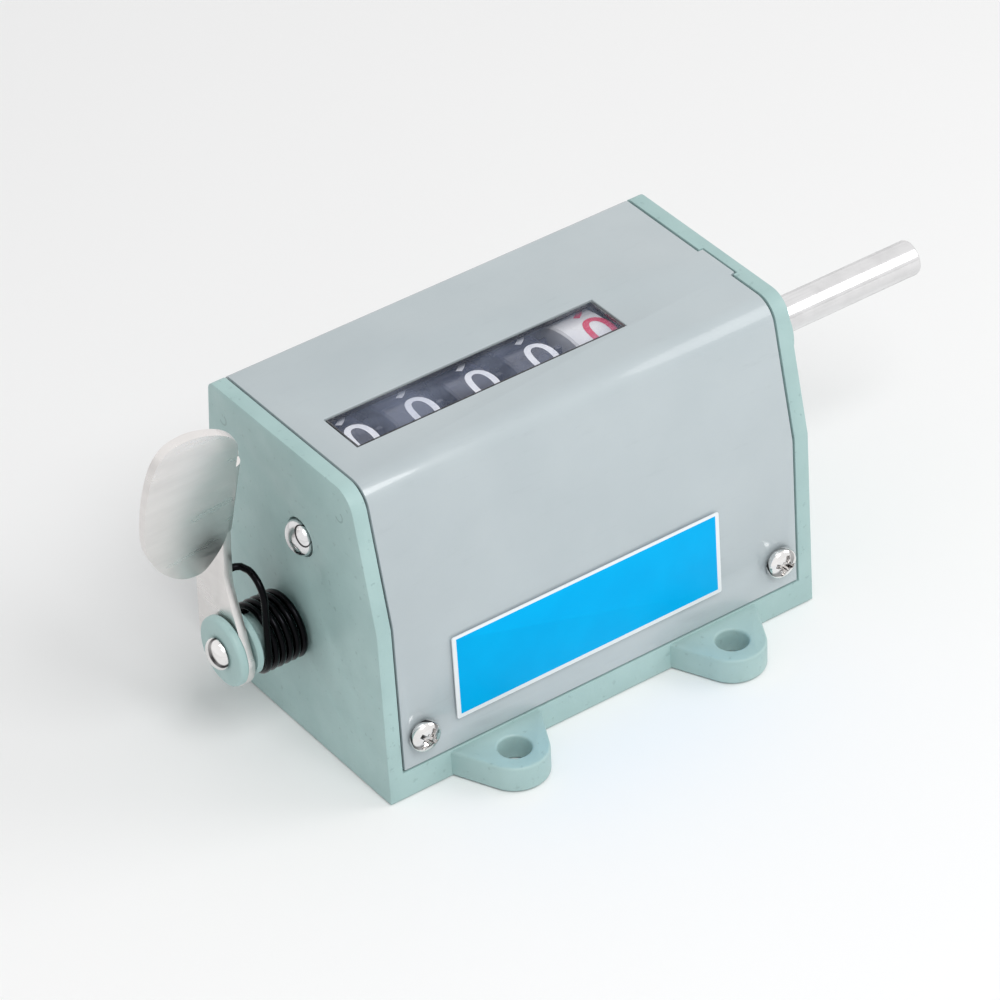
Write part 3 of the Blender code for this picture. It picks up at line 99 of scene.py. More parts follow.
class Wire:
    """A shader value with Python's operators; each one adds a Math node."""

    def __init__(self, paint, socket):
        self.paint, self.socket = paint, socket

    def __add__(self, other):
        return self.paint.sum_of("ADD", self, other)

    def __sub__(self, other):
        return self.paint.sum_of("SUBTRACT", self, other)

    def __rsub__(self, other):
        return self.paint.sum_of("SUBTRACT", other, self)

    def __mul__(self, other):
        return self.paint.sum_of("MULTIPLY", self, other)

    def __gt__(self, other):
        return self.paint.sum_of("GREATER_THAN", self, other)

    def __lt__(self, other):
        return self.paint.sum_of("LESS_THAN", self, other)

    def __abs__(self):
        return self.paint.sum_of("ABSOLUTE", self)

    __radd__ = __add__
    __rmul__ = __mul__


class Paint:
    """One finish: a Principled shader with its constants, and the maps that feed it."""

    def __init__(self, name, colour, roughness, **constants):
        self.material = bpy.data.materials.new(name)
        self.material.use_nodes = True
        self.tree = self.material.node_tree
        self.shader = self.tree.nodes["Principled BSDF"]
        self.shader.inputs["Base Color"].default_value = (*colour, 1)
        self.shader.inputs["Roughness"].default_value = roughness
        for socket, value in constants.items():
            self.shader.inputs[socket.replace("_", " ")].default_value = value

    def node(self, kind, settings, sockets, output=0):
        """A new node of a kind, with its settings and then its sockets' values or links."""
        made = self.tree.nodes.new("ShaderNode" + kind)
        for name, value in settings.items():
            setattr(made, name, value)
        for name, value in sockets.items():
            self.feed(made.inputs[name], value)
        return Wire(self, made.outputs[output])

    def feed(self, socket, value):
        """Link a map to a socket, or set the socket's own value."""
        if isinstance(value, Wire):
            self.tree.links.new(value.socket, socket)
        else:
            socket.default_value = value

    def sum_of(self, operation, first, second=0.0):
        """One Math node on two values or numbers."""
        return self.node("Math", {"operation": operation}, {0: first, 1: second})

    def largest(self, first, second):
        """The larger of two masks, so that they join."""
        return self.sum_of("MAXIMUM", first, second)

    def place(self, stretch=(1, 1, 1)):
        """The point on the piece, in metres, stretched along each axis."""
        here = self.node("TexCoord", {}, {}, "Object")
        return self.node("Mapping", {}, {"Vector": here, "Scale": stretch})

    def along(self, axis):
        """The point's place along one axis, in metres."""
        return self.node("SeparateXYZ", {}, {"Vector": self.place()}, axis)

    def noise(self, scale, detail=3.0, stretch=(1, 1, 1), roughness=0.5):
        """Soft random tone, with about this many patches to the metre."""
        return self.node("TexNoise", {}, {"Vector": self.place(stretch), "Scale": scale,
                                          "Detail": detail, "Roughness": roughness})

    def spread(self, value, low, high, start=0.0, end=1.0):
        """The value between low and high, stretched to run from start to end."""
        return self.node("MapRange", {"clamp": True}, {0: value, 1: low, 2: high,
                                                       3: start, 4: end})

    def mix(self, factor, first, second):
        """From the first colour to the second as the factor goes from 0 to 1."""
        colours = [(*c, 1) if isinstance(c, tuple) and len(c) == 3 else c
                   for c in (first, second)]
        return self.node("Mix", {"data_type": "RGBA"},
                         {0: factor, 6: colours[0], 7: colours[1]}, 2)

    def bump(self, height, depth, base=None):
        """A relief as deep as stated, in metres, on top of another one."""
        sockets = {"Height": height, "Distance": depth, "Strength": 1.0}
        if base is not None:
            sockets["Normal"] = base
        return self.node("Bump", {}, sockets)

    def shade(self, **maps):
        """Feed the shader its maps and give back the material."""
        for socket, value in maps.items():
            self.feed(self.shader.inputs[socket.replace("_", " ")], value)
        return self.material


def enamel(name, colour, light, roughness, peel):
    """Sprayed paint: a slight orange peel, soft clouds of tone and faint handling marks."""
    paint = Paint(name, colour, roughness, Coat_Weight=0.55, Coat_Roughness=0.07)
    clouds = paint.spread(paint.noise(70, 4), 0.35, 0.65)
    grain = paint.noise(1400, 2)
    marks = paint.spread(paint.noise(900, 4, (0.15, 1, 1), 0.7), 0.60, 0.78)
    tone = paint.mix(clouds, colour, light)
    tone = paint.mix(marks * 0.22, tone, tuple(0.75 * c for c in colour))
    waves = paint.bump(paint.noise(520, 2), peel)
    surface = paint.bump(grain, peel * 0.35, base=waves)
    rough = paint.spread(paint.noise(160, 3), 0.3, 0.7, roughness - 0.05, roughness + 0.07)
    return paint.shade(Base_Color=tone, Roughness=rough, Normal=surface)


def stamped_ring(paint, y, z):
    """A faint broken ring that the mould leaves on the outside of the left end plate."""
    across, up = paint.along(1) - y, paint.along(2) - z
    reach = paint.sum_of("SQRT", across * across + up * up)
    ring = 0.00017 > abs(reach - 0.0009)
    outside = -HALF_LENGTH + 0.0003 > paint.along(0)
    return ring * outside * (0.0004 > across + up)


def cast_paint():
    """Grey-green paint over a casting, rougher than the sheet, with worn lighter patches."""
    colour, light = (0.345, 0.500, 0.492), (0.392, 0.556, 0.545)
    paint = Paint("cast_green_paint", colour, 0.46, Coat_Weight=0.12, Coat_Roughness=0.3)
    clouds = paint.spread(paint.noise(110, 5), 0.32, 0.68)
    pits = paint.spread(paint.noise(900, 2), 0.66, 0.74)
    tone = paint.mix(clouds, colour, light)
    tone = paint.mix(pits * 0.35, tone, (0.21, 0.32, 0.32))
    for y, z in ((0.0174, 0.0515), (-0.0147, 0.0513)):
        tone = paint.mix(stamped_ring(paint, y, z) * 0.45, tone, (0.15, 0.24, 0.24))
    sand = paint.bump(paint.noise(950, 4, roughness=0.6), 0.00006)
    surface = paint.bump(1.0 - pits, 0.00003, base=sand)
    rough = paint.spread(paint.noise(240, 3), 0.3, 0.7, 0.38, 0.55)
    return paint.shade(Base_Color=tone, Roughness=rough, Normal=surface)


def plated(name, colour, roughness, brush, depth, stain, reflection_streak=None):
    """Plated or turned metal: fine brushed lines, faint stains and perhaps a streak of painted
    reflection.

    The painted reflection streak is a dark band where the surface meets the view at a set slope,
    stated as its middle slope, its half width and its darkness.
    """
    paint = Paint(name, colour, roughness, Metallic=1.0)
    lines = paint.noise(60, 4, brush, 0.6)
    blots = paint.spread(paint.noise(260, 4), 0.45, 0.75)
    tone = paint.mix(paint.spread(lines, 0.3, 0.7), colour, tuple(0.93 * c for c in colour))
    tone = paint.mix(blots * stain, tone, tuple(0.55 * c for c in colour))
    if reflection_streak:
        middle, half, darkness = reflection_streak
        # Painted reflection: a dark band set by the surface's slope to the view and broken into
        # patches, standing in for dark surroundings mirrored in the metal; on grazing hollows such
        # as screw recesses it also paints shade
        slope = paint.node("LayerWeight", {}, {"Blend": 0.5}, 1)
        wander = (paint.noise(420, 2) - 0.5) * half
        reflection_band = paint.spread(abs(slope + wander - middle), half * 0.5, half, 1.0, 0.0)
        broken = paint.spread(paint.noise(190, 2), 0.36, 0.52, 0.45, 1.0)
        tone = paint.mix(reflection_band * broken * darkness, tone, (0.012, 0.010, 0.012))
    rough = paint.spread(lines, 0.3, 0.7, roughness - 0.05, roughness + 0.09)
    return paint.shade(Base_Color=tone, Roughness=rough, Normal=paint.bump(lines, depth))


def moulded(name, colour, edge, roughness):
    """Moulded plastic with faint turning lines round the drum."""
    paint = Paint(name, colour, roughness, Coat_Weight=0.5, Coat_Roughness=0.1)
    tint = paint.spread(paint.noise(210, 4), 0.35, 0.7)
    lines = paint.noise(40, 3, (60, 1, 1))
    rough = paint.spread(tint, 0.0, 1.0, roughness - 0.06, roughness + 0.10)
    return paint.shade(Base_Color=paint.mix(tint, colour, edge), Roughness=rough,
                       Normal=paint.bump(lines, 0.00001))


def label_print():
    """Blue print inside a plain white border."""
    low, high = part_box("label_plate")
    middle, half = (low + high) / 2, (high - low) / 2
    blue, deep = (0.0, 0.435, 0.850), (0.0, 0.410, 0.820)
    paint = Paint("label_blue_print", blue, 0.42, Specular_IOR_Level=0.04)
    side = abs(paint.along(0) - middle.x) > half.x - 0.00075
    end = abs(paint.along(2) - middle.z - 0.00018) > half.z - 0.00062
    blots = paint.spread(paint.noise(150, 4), 0.35, 0.65)
    tone = paint.mix(blots, blue, deep)
    tone = paint.mix(paint.largest(side, end), tone, (0.80, 0.84, 0.86))
    rough = paint.spread(paint.noise(380, 3), 0.3, 0.7, 0.28, 0.42)
    return paint.shade(Base_Color=tone, Roughness=rough,
                       Normal=paint.bump(paint.noise(1100, 2), 0.00001))


def clear_pane():
    """The clear window: patches of painted reflection in a pale blue tint, and painted shade as a
    dark band round its rim.
    """
    low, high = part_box("window_lens")
    middle, half = (low + high) / 2, (high - low) / 2
    # Painted light on the pane: the pale blue tint, shown in noise patches where the alpha rises,
    # is a painted reflection; the near-opaque dark band round the rim is painted shade for the
    # cover's edge and gap in shadow
    tint, rim_shade_colour = (0.42, 0.50, 0.72), (0.015, 0.016, 0.022)
    paint = Paint("clear_window", tint, 0.05, Coat_Weight=1.0, Coat_Roughness=0.02)
    side = abs(paint.along(0) - middle.x) > half.x - 0.00022
    end = abs(paint.along(1) - middle.y) > half.y - 0.00018
    rim_shade = paint.largest(side, end)
    reflection_patches = paint.spread(paint.noise(70, 4, (1, 2.5, 1)), 0.35, 0.75, 0.02, 0.20)
    rough = paint.spread(paint.noise(300, 3), 0.3, 0.7, 0.03, 0.12)
    return paint.shade(Alpha=paint.largest(reflection_patches, rim_shade * 0.92), Roughness=rough,
                       Base_Color=paint.mix(rim_shade, tint, rim_shade_colour))


def ink(name, colour, worn):
    """Printed numbers, a little uneven where the ink thins."""
    paint = Paint(name, colour, 0.4)
    thin = paint.spread(paint.noise(1800, 3), 0.5, 0.75)
    return paint.shade(Base_Color=paint.mix(thin, colour, worn),
                       Roughness=paint.spread(thin, 0.0, 1.0, 0.35, 0.5))


CASTING = cast_paint()
COVER = enamel("cover_grey_enamel", (0.436, 0.496, 0.520), (0.460, 0.520, 0.543), 0.33,
               0.000012)
LABEL = label_print()
PANE = clear_pane()
NICKEL = plated("nickel_plate", (0.80, 0.775, 0.76), 0.30, (1, 1, 7), 0.000003, 0.08)
# Bright plate and turned steel carry a painted reflection streak: dark crescents on the domes,
# painted shade in the screw recesses and dark lengthwise lines on the rod
BRIGHT = plated("bright_plate", (0.88, 0.865, 0.855), 0.13, (12, 1, 1), 0.000005, 0.25,
                (0.42, 0.13, 0.96))
STEEL = plated("turned_steel", (0.78, 0.775, 0.78), 0.15, (1, 30, 30), 0.000004, 0.25,
               (0.172, 0.036, 0.97))
SPRING_STEEL = plated("blackened_spring_steel", (0.007, 0.007, 0.008), 0.20, (20, 1, 1),
                      0.000006, 0.2)
BRASS = plated("cut_brass", (0.70, 0.53, 0.25), 0.28, (14, 1, 1), 0.000006, 0.3)
BRONZE = plated("oiled_bronze", (0.42, 0.29, 0.16), 0.38, (1, 1, 1), 0.00002, 0.4)
ZINC = plated("zinc_plate", (0.60, 0.62, 0.64), 0.32, (1, 1, 9), 0.000008, 0.3)
DRUM_BLACK = moulded("drum_black", (0.016, 0.018, 0.034), (0.040, 0.045, 0.075), 0.22)
DRUM_WHITE = moulded("drum_white", (0.80, 0.80, 0.82), (0.72, 0.72, 0.75), 0.30)
WHITE_INK = ink("number_white", (0.88, 0.89, 0.94), (0.72, 0.74, 0.82))
RED_INK = ink("number_red", (0.66, 0.030, 0.10), (0.74, 0.16, 0.24))


def new_piece(name, data):
    """An object in the scene with a mesh, curve, text, lamp or lens."""
    piece = bpy.data.objects.new(name, data)
    bpy.context.scene.collection.objects.link(piece)
    return piece


def mesh_of(piece):
    """A new mesh of a piece as it shows, with its modifiers applied."""
    bpy.context.view_layer.update()
    return bpy.data.meshes.new_from_object(
        piece.evaluated_get(bpy.context.evaluated_depsgraph_get()))


def drawn_mesh(drawing):
    """The mesh of a curve or a text."""
    drawn = new_piece("drawing", drawing)
    mesh = mesh_of(drawn)
    bpy.data.objects.remove(drawn)
    return mesh


def settle(piece):
    """Apply a piece's modifiers and its place to its mesh."""
    mesh = mesh_of(piece)
    mesh.transform(piece.matrix_world)
    piece.modifiers.clear()
    piece.data = mesh
    piece.matrix_world = Matrix()
    return piece


def finish_piece(piece, material, body, *nodes, edge=0.0, segments=2, angle=30):
    """Round the edges, smooth the shading, give the finish and hang it on its body."""
    settle(piece)
    if edge > 0:
        work = bmesh.new()
        work.from_mesh(piece.data)
        bmesh.ops.remove_doubles(work, verts=work.verts, dist=0.000002)
        bmesh.ops.dissolve_limit(work, angle_limit=math.radians(1), verts=work.verts,
                                 edges=work.edges)
        work.to_mesh(piece.data)
        work.free()
        rounding = piece.modifiers.new("edge", "BEVEL")
        rounding.width = edge
        rounding.segments = segments
        rounding.limit_method = "ANGLE"
        rounding.angle_limit = math.radians(angle)
        settle(piece)
    piece.data.shade_smooth()
    piece.data.set_sharp_from_angle(angle=math.radians(42))
    piece.data.materials.clear()
    piece.data.materials.append(material)
    if nodes:
        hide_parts(*nodes)
    if body:
        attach(piece, body)
    return piece


def prism(name, outline, start, end, along="X"):
    """A flat outline made solid, along X (drawn in Y, Z) or along Z (drawn in X, Y)."""
    mesh = bpy.data.meshes.new(name)
    work = bmesh.new()
    caps = []
    for height in (start, end):
        spots = [(height, a, b) if along == "X" else (a, b, height) for a, b in outline]
        caps.append([work.verts.new(spot) for spot in spots])
    work.faces.new(list(reversed(caps[0])))
    work.faces.new(caps[1])
    for number in range(len(outline)):
        after = (number + 1) % len(outline)
        work.faces.new((caps[0][number], caps[0][after], caps[1][after], caps[1][number]))
    bmesh.ops.recalc_face_normals(work, faces=work.faces)
    work.to_mesh(mesh)
    work.free()
    return new_piece(name, mesh)


def turned(name, profile, axis, steps=72, along="X", closed=False):
    """Turn a profile of (radius, place) points about an axis along X, Y or Z."""
    mesh = bpy.data.meshes.new(name)
    edges = [(number, number + 1) for number in range(len(profile) - 1)]
    if closed:
        edges.append((len(profile) - 1, 0))
    mesh.from_pydata([(radius, 0, place) for radius, place in profile], edges, [])
    spot, turn = {"X": ((0, *axis), Matrix.Rotation(math.pi / 2, 4, "Y")),
                  "Y": ((axis[0], 0, axis[1]), Matrix.Rotation(-math.pi / 2, 4, "X")),
                  "Z": ((*axis, 0), Matrix())}[along]
    piece = new_piece(name, mesh)
    piece.matrix_world = Matrix.Translation(spot) @ turn
    screw = piece.modifiers.new("turn", "SCREW")
    screw.steps = screw.render_steps = steps
    screw.use_merge_vertices = True
    screw.merge_threshold = 0.000001
    return piece


def block(name, low, high):
    """A box between its lowest and highest corners, as a tool or for the floor."""
    mesh = bpy.data.meshes.new(name)
    work = bmesh.new()
    bmesh.ops.create_cube(work, size=1.0)
    bmesh.ops.scale(work, vec=[b - a for a, b in zip(low, high)], verts=work.verts)
    bmesh.ops.translate(work, vec=[(a + b) / 2 for a, b in zip(low, high)], verts=work.verts)
    work.to_mesh(mesh)
    work.free()
    return new_piece(name, mesh)


def combine(piece, operation, *tools):
    """Cut or join shapes, which are then removed."""
    settle(piece)
    for tool in tools:
        settle(tool)
        step = piece.modifiers.new("step", "BOOLEAN")
        step.operation = operation
        step.solver = "EXACT"
        step.object = tool
        settle(piece)
        bpy.data.objects.remove(tool)
    return piece


def peg(radius, start, end, axis, along="X"):
    """A plain round bar, to cut holes with."""
    return turned("peg", [(0, end), (radius, end), (radius, start), (0, start)], axis, 48, along)


def dome(radius, seat, height):
    """The profile of a domed left end, from its rim almost to its middle."""
    return [(radius * math.cos(turn), seat - height * math.sin(turn))
            for turn in (math.radians(deg) for deg in range(0, 90, 9))]


def arc(centre, radius, start, end, steps):
    """Points on a circle from one angle to another, in degrees."""
    turns = [math.radians(start + (end - start) * number / steps) for number in range(steps + 1)]
    return [(centre[0] + radius * math.cos(turn), centre[1] + radius * math.sin(turn))
            for turn in turns]


def corner_arc(before, corner, after, radius, steps=10):
    """A rounded corner between two straight runs."""
    before, corner, after = Vector(before), Vector(corner), Vector(after)
    back, ahead = (before - corner).normalized(), (after - corner).normalized()
    half = back.angle(ahead) / 2
    centre = corner + (back + ahead).normalized() * radius / math.sin(half)
    first = corner + back * radius / math.tan(half) - centre
    last = corner + ahead * radius / math.tan(half) - centre
    start = math.degrees(math.atan2(first.y, first.x))
    turn = math.degrees(math.atan2(last.y, last.x)) - start
    return arc(centre, radius, start, start + turn - 360 * round(turn / 360), steps)


def body_corners(inset):
    """The cross-section's corners, moved inward and kept sharp."""
    points = [Vector(p) for p in ((-HALF_DEPTH, 0), (-HALF_DEPTH + KINK_SETBACK, KINK_HEIGHT),
                                  (-HALF_DEPTH + FRONT_SETBACK, HEIGHT),
                                  (HALF_DEPTH - REAR_SETBACK, HEIGHT),
                                  (HALF_DEPTH - KINK_SETBACK, KINK_HEIGHT), (HALF_DEPTH, 0))]
    ways = [(after - before).normalized() for before, after in zip(points, points[1:])]
    sides = [Vector((way.y, -way.x)) * inset for way in ways]
    moved = [points[0] + sides[0]]
    for number in range(1, len(ways)):
        first, second = points[number] + sides[number - 1], points[number] + sides[number]
        a, b = ways[number - 1], ways[number]
        reach = ((second - first).x * b.y - (second - first).y * b.x) / (a.x * b.y - a.y * b.x)
        moved.append(first + a * reach)
    return moved + [points[-1] + sides[-1]]


def body_path(inset=0.0):
    """The body's cross-section up the front, over the top and down the rear."""
    spots = body_corners(inset)
    front = corner_arc(spots[1], spots[2], spots[3], FRONT_ROUND - inset)
    rear = corner_arc(spots[2], spots[3], spots[4], REAR_ROUND - inset)
    return [tuple(spots[0]), tuple(spots[1]), *front, *rear, tuple(spots[4]), tuple(spots[5])]


def front_y(height):
    """Where the leaning front face is, at a height below its bend."""
    return -HALF_DEPTH + KINK_SETBACK * height / KINK_HEIGHT


def make_casting():
    """The frame: end plates and floor in one piece, its four ears and the shaft boss."""
    casting = prism("casting_body", body_path(), -HALF_LENGTH, HALF_LENGTH)
    reach, wide = INNER_X - COVER_GAP + TAB_REACH + GAP, TAB_HALF + GAP
    combine(casting, "DIFFERENCE",
            block("inside", (-INNER_X, -0.03, FLOOR), (INNER_X, 0.03, 0.06)),
            block("notch", (INNER_X - 0.001, MAIN[0] - wide, HEIGHT - SHEET - GAP),
                  (reach, MAIN[0] + wide, 0.06)),
            peg(ROD_RADIUS + GAP, -0.044, -0.038, MAIN), peg(RESET_BORE, -0.044, -0.038, RESET),
            peg(BOSS_BORE, 0.038, 0.044, MAIN))
    finish_piece(casting, CASTING, "housing", "frame_casting", edge=0.00036, segments=3)
    for side_x in (-1, 1):
        for side_y in (-1, 1):
            make_ear(side_x, side_y)
    end = HALF_LENGTH + 0.0080
    boss = turned("casting_boss", [(BOSS_BORE, end), (0.0064, end), (0.00685, end - 0.0002),
                                   (0.0070, end - 0.0006), (0.0070, HALF_LENGTH + 0.0008),
                                   (0.0073, HALF_LENGTH + 0.0002), (0.0076, HALF_LENGTH),
                                   (0.0076, HALF_LENGTH - 0.0005),
                                   (BOSS_BORE, HALF_LENGTH - 0.0005)], MAIN, closed=True)
    finish_piece(boss, CASTING, "housing")


def make_ear(side_x, side_y):
    """One fixing ear with straight flanks that run out to its round end."""
    hole = (side_x * EAR_X, EAR_Y)
    spread = math.degrees(math.acos(EAR_RADIUS / math.hypot(EAR_ROOT, EAR_FLARE))
                          - math.atan2(EAR_FLARE, EAR_ROOT))
    outline = arc(hole, EAR_RADIUS, spread, 180 - spread, 28)
    outline += [(hole[0] - EAR_ROOT, HALF_DEPTH), (hole[0] - EAR_ROOT, HALF_DEPTH - 0.002),
                (hole[0] + EAR_ROOT, HALF_DEPTH - 0.002), (hole[0] + EAR_ROOT, HALF_DEPTH)]
    ear = prism("casting_ear", [(x, side_y * y) for x, y in outline], 0.0, EAR_HEIGHT, "Z")
    combine(ear, "DIFFERENCE", peg(EAR_HOLE, -0.001, 0.006, (hole[0], side_y * EAR_Y), "Z"))
    finish_piece(ear, CASTING, "housing", edge=0.00045, segments=3)


def make_cover():
    """The folded sheet with its window, screw holes and tab."""
    foot = FLOOR + COVER_GAP
    skins = []
    for inset in (0.0, SHEET):
        path = body_path(inset)
        low = front_y(foot) + inset
        skins.append([(low, foot), *path[1:-1], (-low, foot)])
    end = INNER_X - COVER_GAP
    tab_end = end + TAB_REACH
    cover = prism("cover_sheet", skins[0] + skins[1][::-1], -end, tab_end)
    combine(cover, "DIFFERENCE",
            block("before_tab", (end, -0.03, 0), (tab_end + 0.001, MAIN[0] - TAB_HALF, 0.06)),
            block("behind_tab", (end, MAIN[0] + TAB_HALF, 0), (tab_end + 0.001, 0.03, 0.06)))
    low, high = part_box("window_lens")
    hole = block("hole", (low.x - GAP, low.y - GAP, 0.05), (high.x + GAP, high.y + GAP, 0.06))
    pegs = [peg(SHANK_RADIUS + GAP, *sorted((side * 0.021, side * 0.026)), (x, SCREW_HEIGHT), "Y")
            for side in (-1, 1) for x in (-SCREW_X, SCREW_X)]
    combine(cover, "DIFFERENCE", hole, *pegs)
    finish_piece(cover, COVER, "housing", "cover", edge=0.00018)
    pane = block("window_pane", low, high)
    finish_piece(pane, PANE, "housing", "window_lens", edge=0.00015)


def make_label():
    """The thin plate with slightly rounded corners, lying on the leaning front face."""
    low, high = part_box("label_plate")
    ends = [Vector((front_y(z), z)) for z in (low.z, high.z)]
    way = (ends[1] - ends[0]).normalized()
    out = Vector((-way.y, way.x))
    tall = (ends[1] - ends[0]).length
    half = (high.x - low.x) / 2
    corners = [(-half, 0), (half, 0), (half, tall), (-half, tall)]
    outline = []
    for number, corner in enumerate(corners):
        outline += corner_arc(corners[number - 1], corner, corners[(number + 1) % 4], 0.0004, 4)
    plate = prism("label_sheet", outline, GAP, 2 * GAP, "Z")
    plate.matrix_world = Matrix(((1, 0, 0, (low.x + high.x) / 2), (0, way.x, out.x, ends[0].x),
                                 (0, way.y, out.y, ends[0].y), (0, 0, 0, 1)))
    finish_piece(plate, LABEL, "housing", "label_plate", edge=0.00008)


def make_screw(name, side_x, side_y):
    """A pan head with a cross recess, seated on the cover."""
    seat, side = -front_y(SCREW_HEIGHT) + GAP, side_x * SCREW_X
    crown = [(HEAD_RADIUS * math.cos(turn), HEAD_HEIGHT * (0.42 + 0.58 * math.sin(turn)))
             for turn in (math.radians(deg) for deg in (86, 72, 58, 44, 30, 16, 4))]
    profile = [(0, HEAD_HEIGHT), *crown, (HEAD_RADIUS, 0.0001), (HEAD_RADIUS - 0.0001, 0),
               (SHANK_RADIUS, 0), (SHANK_RADIUS, -0.004), (0, -0.004)]
    if side_y > 0:
        profile = [(radius, seat + place) for radius, place in profile]
    else:
        profile = [(radius, -seat - place) for radius, place in reversed(profile)]
    screw = turned(name + "_head", profile, (side, SCREW_HEIGHT), 48, "Y")
    depth = sorted((side_y * (seat + 0.0030), side_y * (seat + 0.0005)))
    arms = [block("arm", (side - a, depth[0], SCREW_HEIGHT - b),
                  (side + a, depth[1], SCREW_HEIGHT + b))
            for a, b in ((0.0019, 0.00038), (0.00038, 0.0019), (0.0008, 0.0008))]
    tilt = (Matrix.Translation((side, 0, SCREW_HEIGHT))
            @ Matrix.Rotation(math.radians(35 * side_x - 14), 4, "Y")
            @ Matrix.Translation((-side, 0, -SCREW_HEIGHT)))
    for arm in arms:
        arm.data.transform(tilt)
    combine(screw, "DIFFERENCE", *arms)
    finish_piece(screw, BRIGHT, "housing", name, edge=0.00010, angle=40)


def make_shaft():
    """The through shaft with its domed left end, the bush and the anchor pin."""
    left, height = -HALF_LENGTH, 0.0021
    profile = [(0, ROD_END), (ROD_RADIUS - 0.0004, ROD_END),
               (ROD_RADIUS - 0.0001, ROD_END - 0.00015), (ROD_RADIUS, ROD_END - 0.0004),
               *dome(ROD_RADIUS, left, height), (0, left - height)]
    finish_piece(turned("drive_rod", profile, MAIN, 96), STEEL, "shaft", "drive_shaft")
    start, bore = HALF_LENGTH - PLATE - GAP, ROD_RADIUS + GAP
    sleeve = turned("bush_ring", [(0.0040, HALF_LENGTH + 0.0079),
                                  (BOSS_BORE, HALF_LENGTH + 0.0077), (BOSS_BORE, start),
                                  (0.0054, start), (0.0054, start - 0.001), (bore, start - 0.001),
                                  (bore, HALF_LENGTH + 0.0078)], MAIN, closed=True)
    finish_piece(sleeve, BRONZE, "housing", "right_bush")
    low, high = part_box("spring_anchor_pin")
    middle = (low + high) / 2
    pin = turned("anchor_peg", [(0, high.x), (0.0009, high.x), (0.0009, low.x + 0.0002),
                                (0.0007, low.x), (0, low.x)], (middle.y, middle.z), 32)
    finish_piece(pin, BRIGHT, "housing", "spring_anchor_pin")


def make_lever_fittings():
    """The green spool and disc, and the domed head of the reset shaft."""
    low, high = (corner.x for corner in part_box("lever_hub"))
    spool = turned("lever_spool", [(0.0037, high), (0.0039, high - 0.0002), (0.0039, low + 0.0014),
                                   (0.0041, low + 0.0012), (0.0051, low + 0.0012),
                                   (0.0054, low + 0.0009), (0.0054, low + 0.0003),
                                   (0.0051, low), (RESET_BORE, low), (RESET_BORE, high)],
                   RESET, closed=True)
    finish_piece(spool, CASTING, "reset", "lever_hub")
    low, high = (corner.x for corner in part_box("lever_disc"))
    disc = turned("lever_washer", [(DISC_RADIUS - 0.0003, high), (DISC_RADIUS, high - 0.0003),
                                   (DISC_RADIUS, low + 0.0006),
                                   (DISC_RADIUS - 0.00015, low + 0.0002),
                                   (DISC_RADIUS - 0.0005, low), (RESET_BORE, low),
                                   (RESET_BORE, high)], RESET, closed=True)
    finish_piece(disc, CASTING, "reset", "lever_disc")
    low, high = (corner.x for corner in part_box("reset_shaft"))
    height = 0.0018
    seat, shank = low + height, RESET_BORE - GAP
    profile = [(0, high), (shank, high), (shank, seat), *dome(0.0028, seat, height), (0, low)]
    finish_piece(turned("reset_rod", profile, RESET, 72), BRIGHT, "reset", "reset_shaft")


def smooth_loop(points, rounds=2):
    """A closed outline made finer on a smooth curve through its points."""
    spots = [Vector(point) for point in points]
    for _ in range(rounds):
        finer = []
        for number, here in enumerate(spots):
            before, after = spots[number - 1], spots[(number + 1) % len(spots)]
            beyond = spots[(number + 2) % len(spots)]
            finer += [here, (9 * (here + after) - before - beyond) / 16]
        spots = finer
    return [tuple(spot) for spot in spots]


def make_lever():
    """The flat arm and its thumb pad, joined by a round bend."""
    pivot, lean = Vector(RESET), math.radians(LEAN)
    middle = pivot + Vector((-0.0042, 0.0316))
    way, side = Vector((-math.sin(lean), math.cos(lean))), Vector((math.cos(lean), math.sin(lean)))
    low = middle + side * BEND - way * BEND_HALF
    high = middle + side * BEND + way * BEND_HALF
    front = high + way * 0.0035
    back = front + Vector((0.0075, -0.0015))
    back_low, waist = low + side * 0.0075, pivot + Vector((0.0085, 0.0125))
    outline = arc(pivot + Vector((0.0021, -0.0010)), 0.0068, 0, -180, 36)
    outline += corner_arc(outline[-1], pivot + Vector((0.0001, 0.0125)), low, 0.010, 6)
    outline += [tuple(low), *corner_arc(high, front, back, 0.0022, 8),
                *corner_arc(front, back, back_low, 0.0035, 8),
                *corner_arc(back, back_low, waist, 0.010, 6),
                *corner_arc(back_low, waist, pivot + Vector((0.0089, -0.001)), 0.010, 6)]
    arm = prism("lever_plate", outline, LEVER_OUTER, LEVER_INNER)
    pad = prism("pad", smooth_loop([(max(s * PAD_REACH, BEND), t * PAD_LENGTH) for s, t in PAD]),
                -BEND, 0.0, "Z")
    pad.matrix_world = Matrix(((-1, 0, 0, LEVER_INNER), (0, way.x, -side.x, middle.x),
                               (0, way.y, -side.y, middle.y), (0, 0, 0, 1)))
    roll = peg(BEND, -BEND_HALF, BEND_HALF, (0, 0), "Z")
    roll.matrix_world = (pad.matrix_world @ Matrix.Translation((BEND, 0, -BEND))
                         @ Matrix.Rotation(-math.pi / 2, 4, "X"))
    combine(arm, "UNION", pad, roll)
    combine(arm, "DIFFERENCE", peg(RESET_BORE, -0.056, -0.050, RESET))
    finish_piece(arm, NICKEL, "reset", "reset_lever", edge=0.00030, segments=3, angle=35)


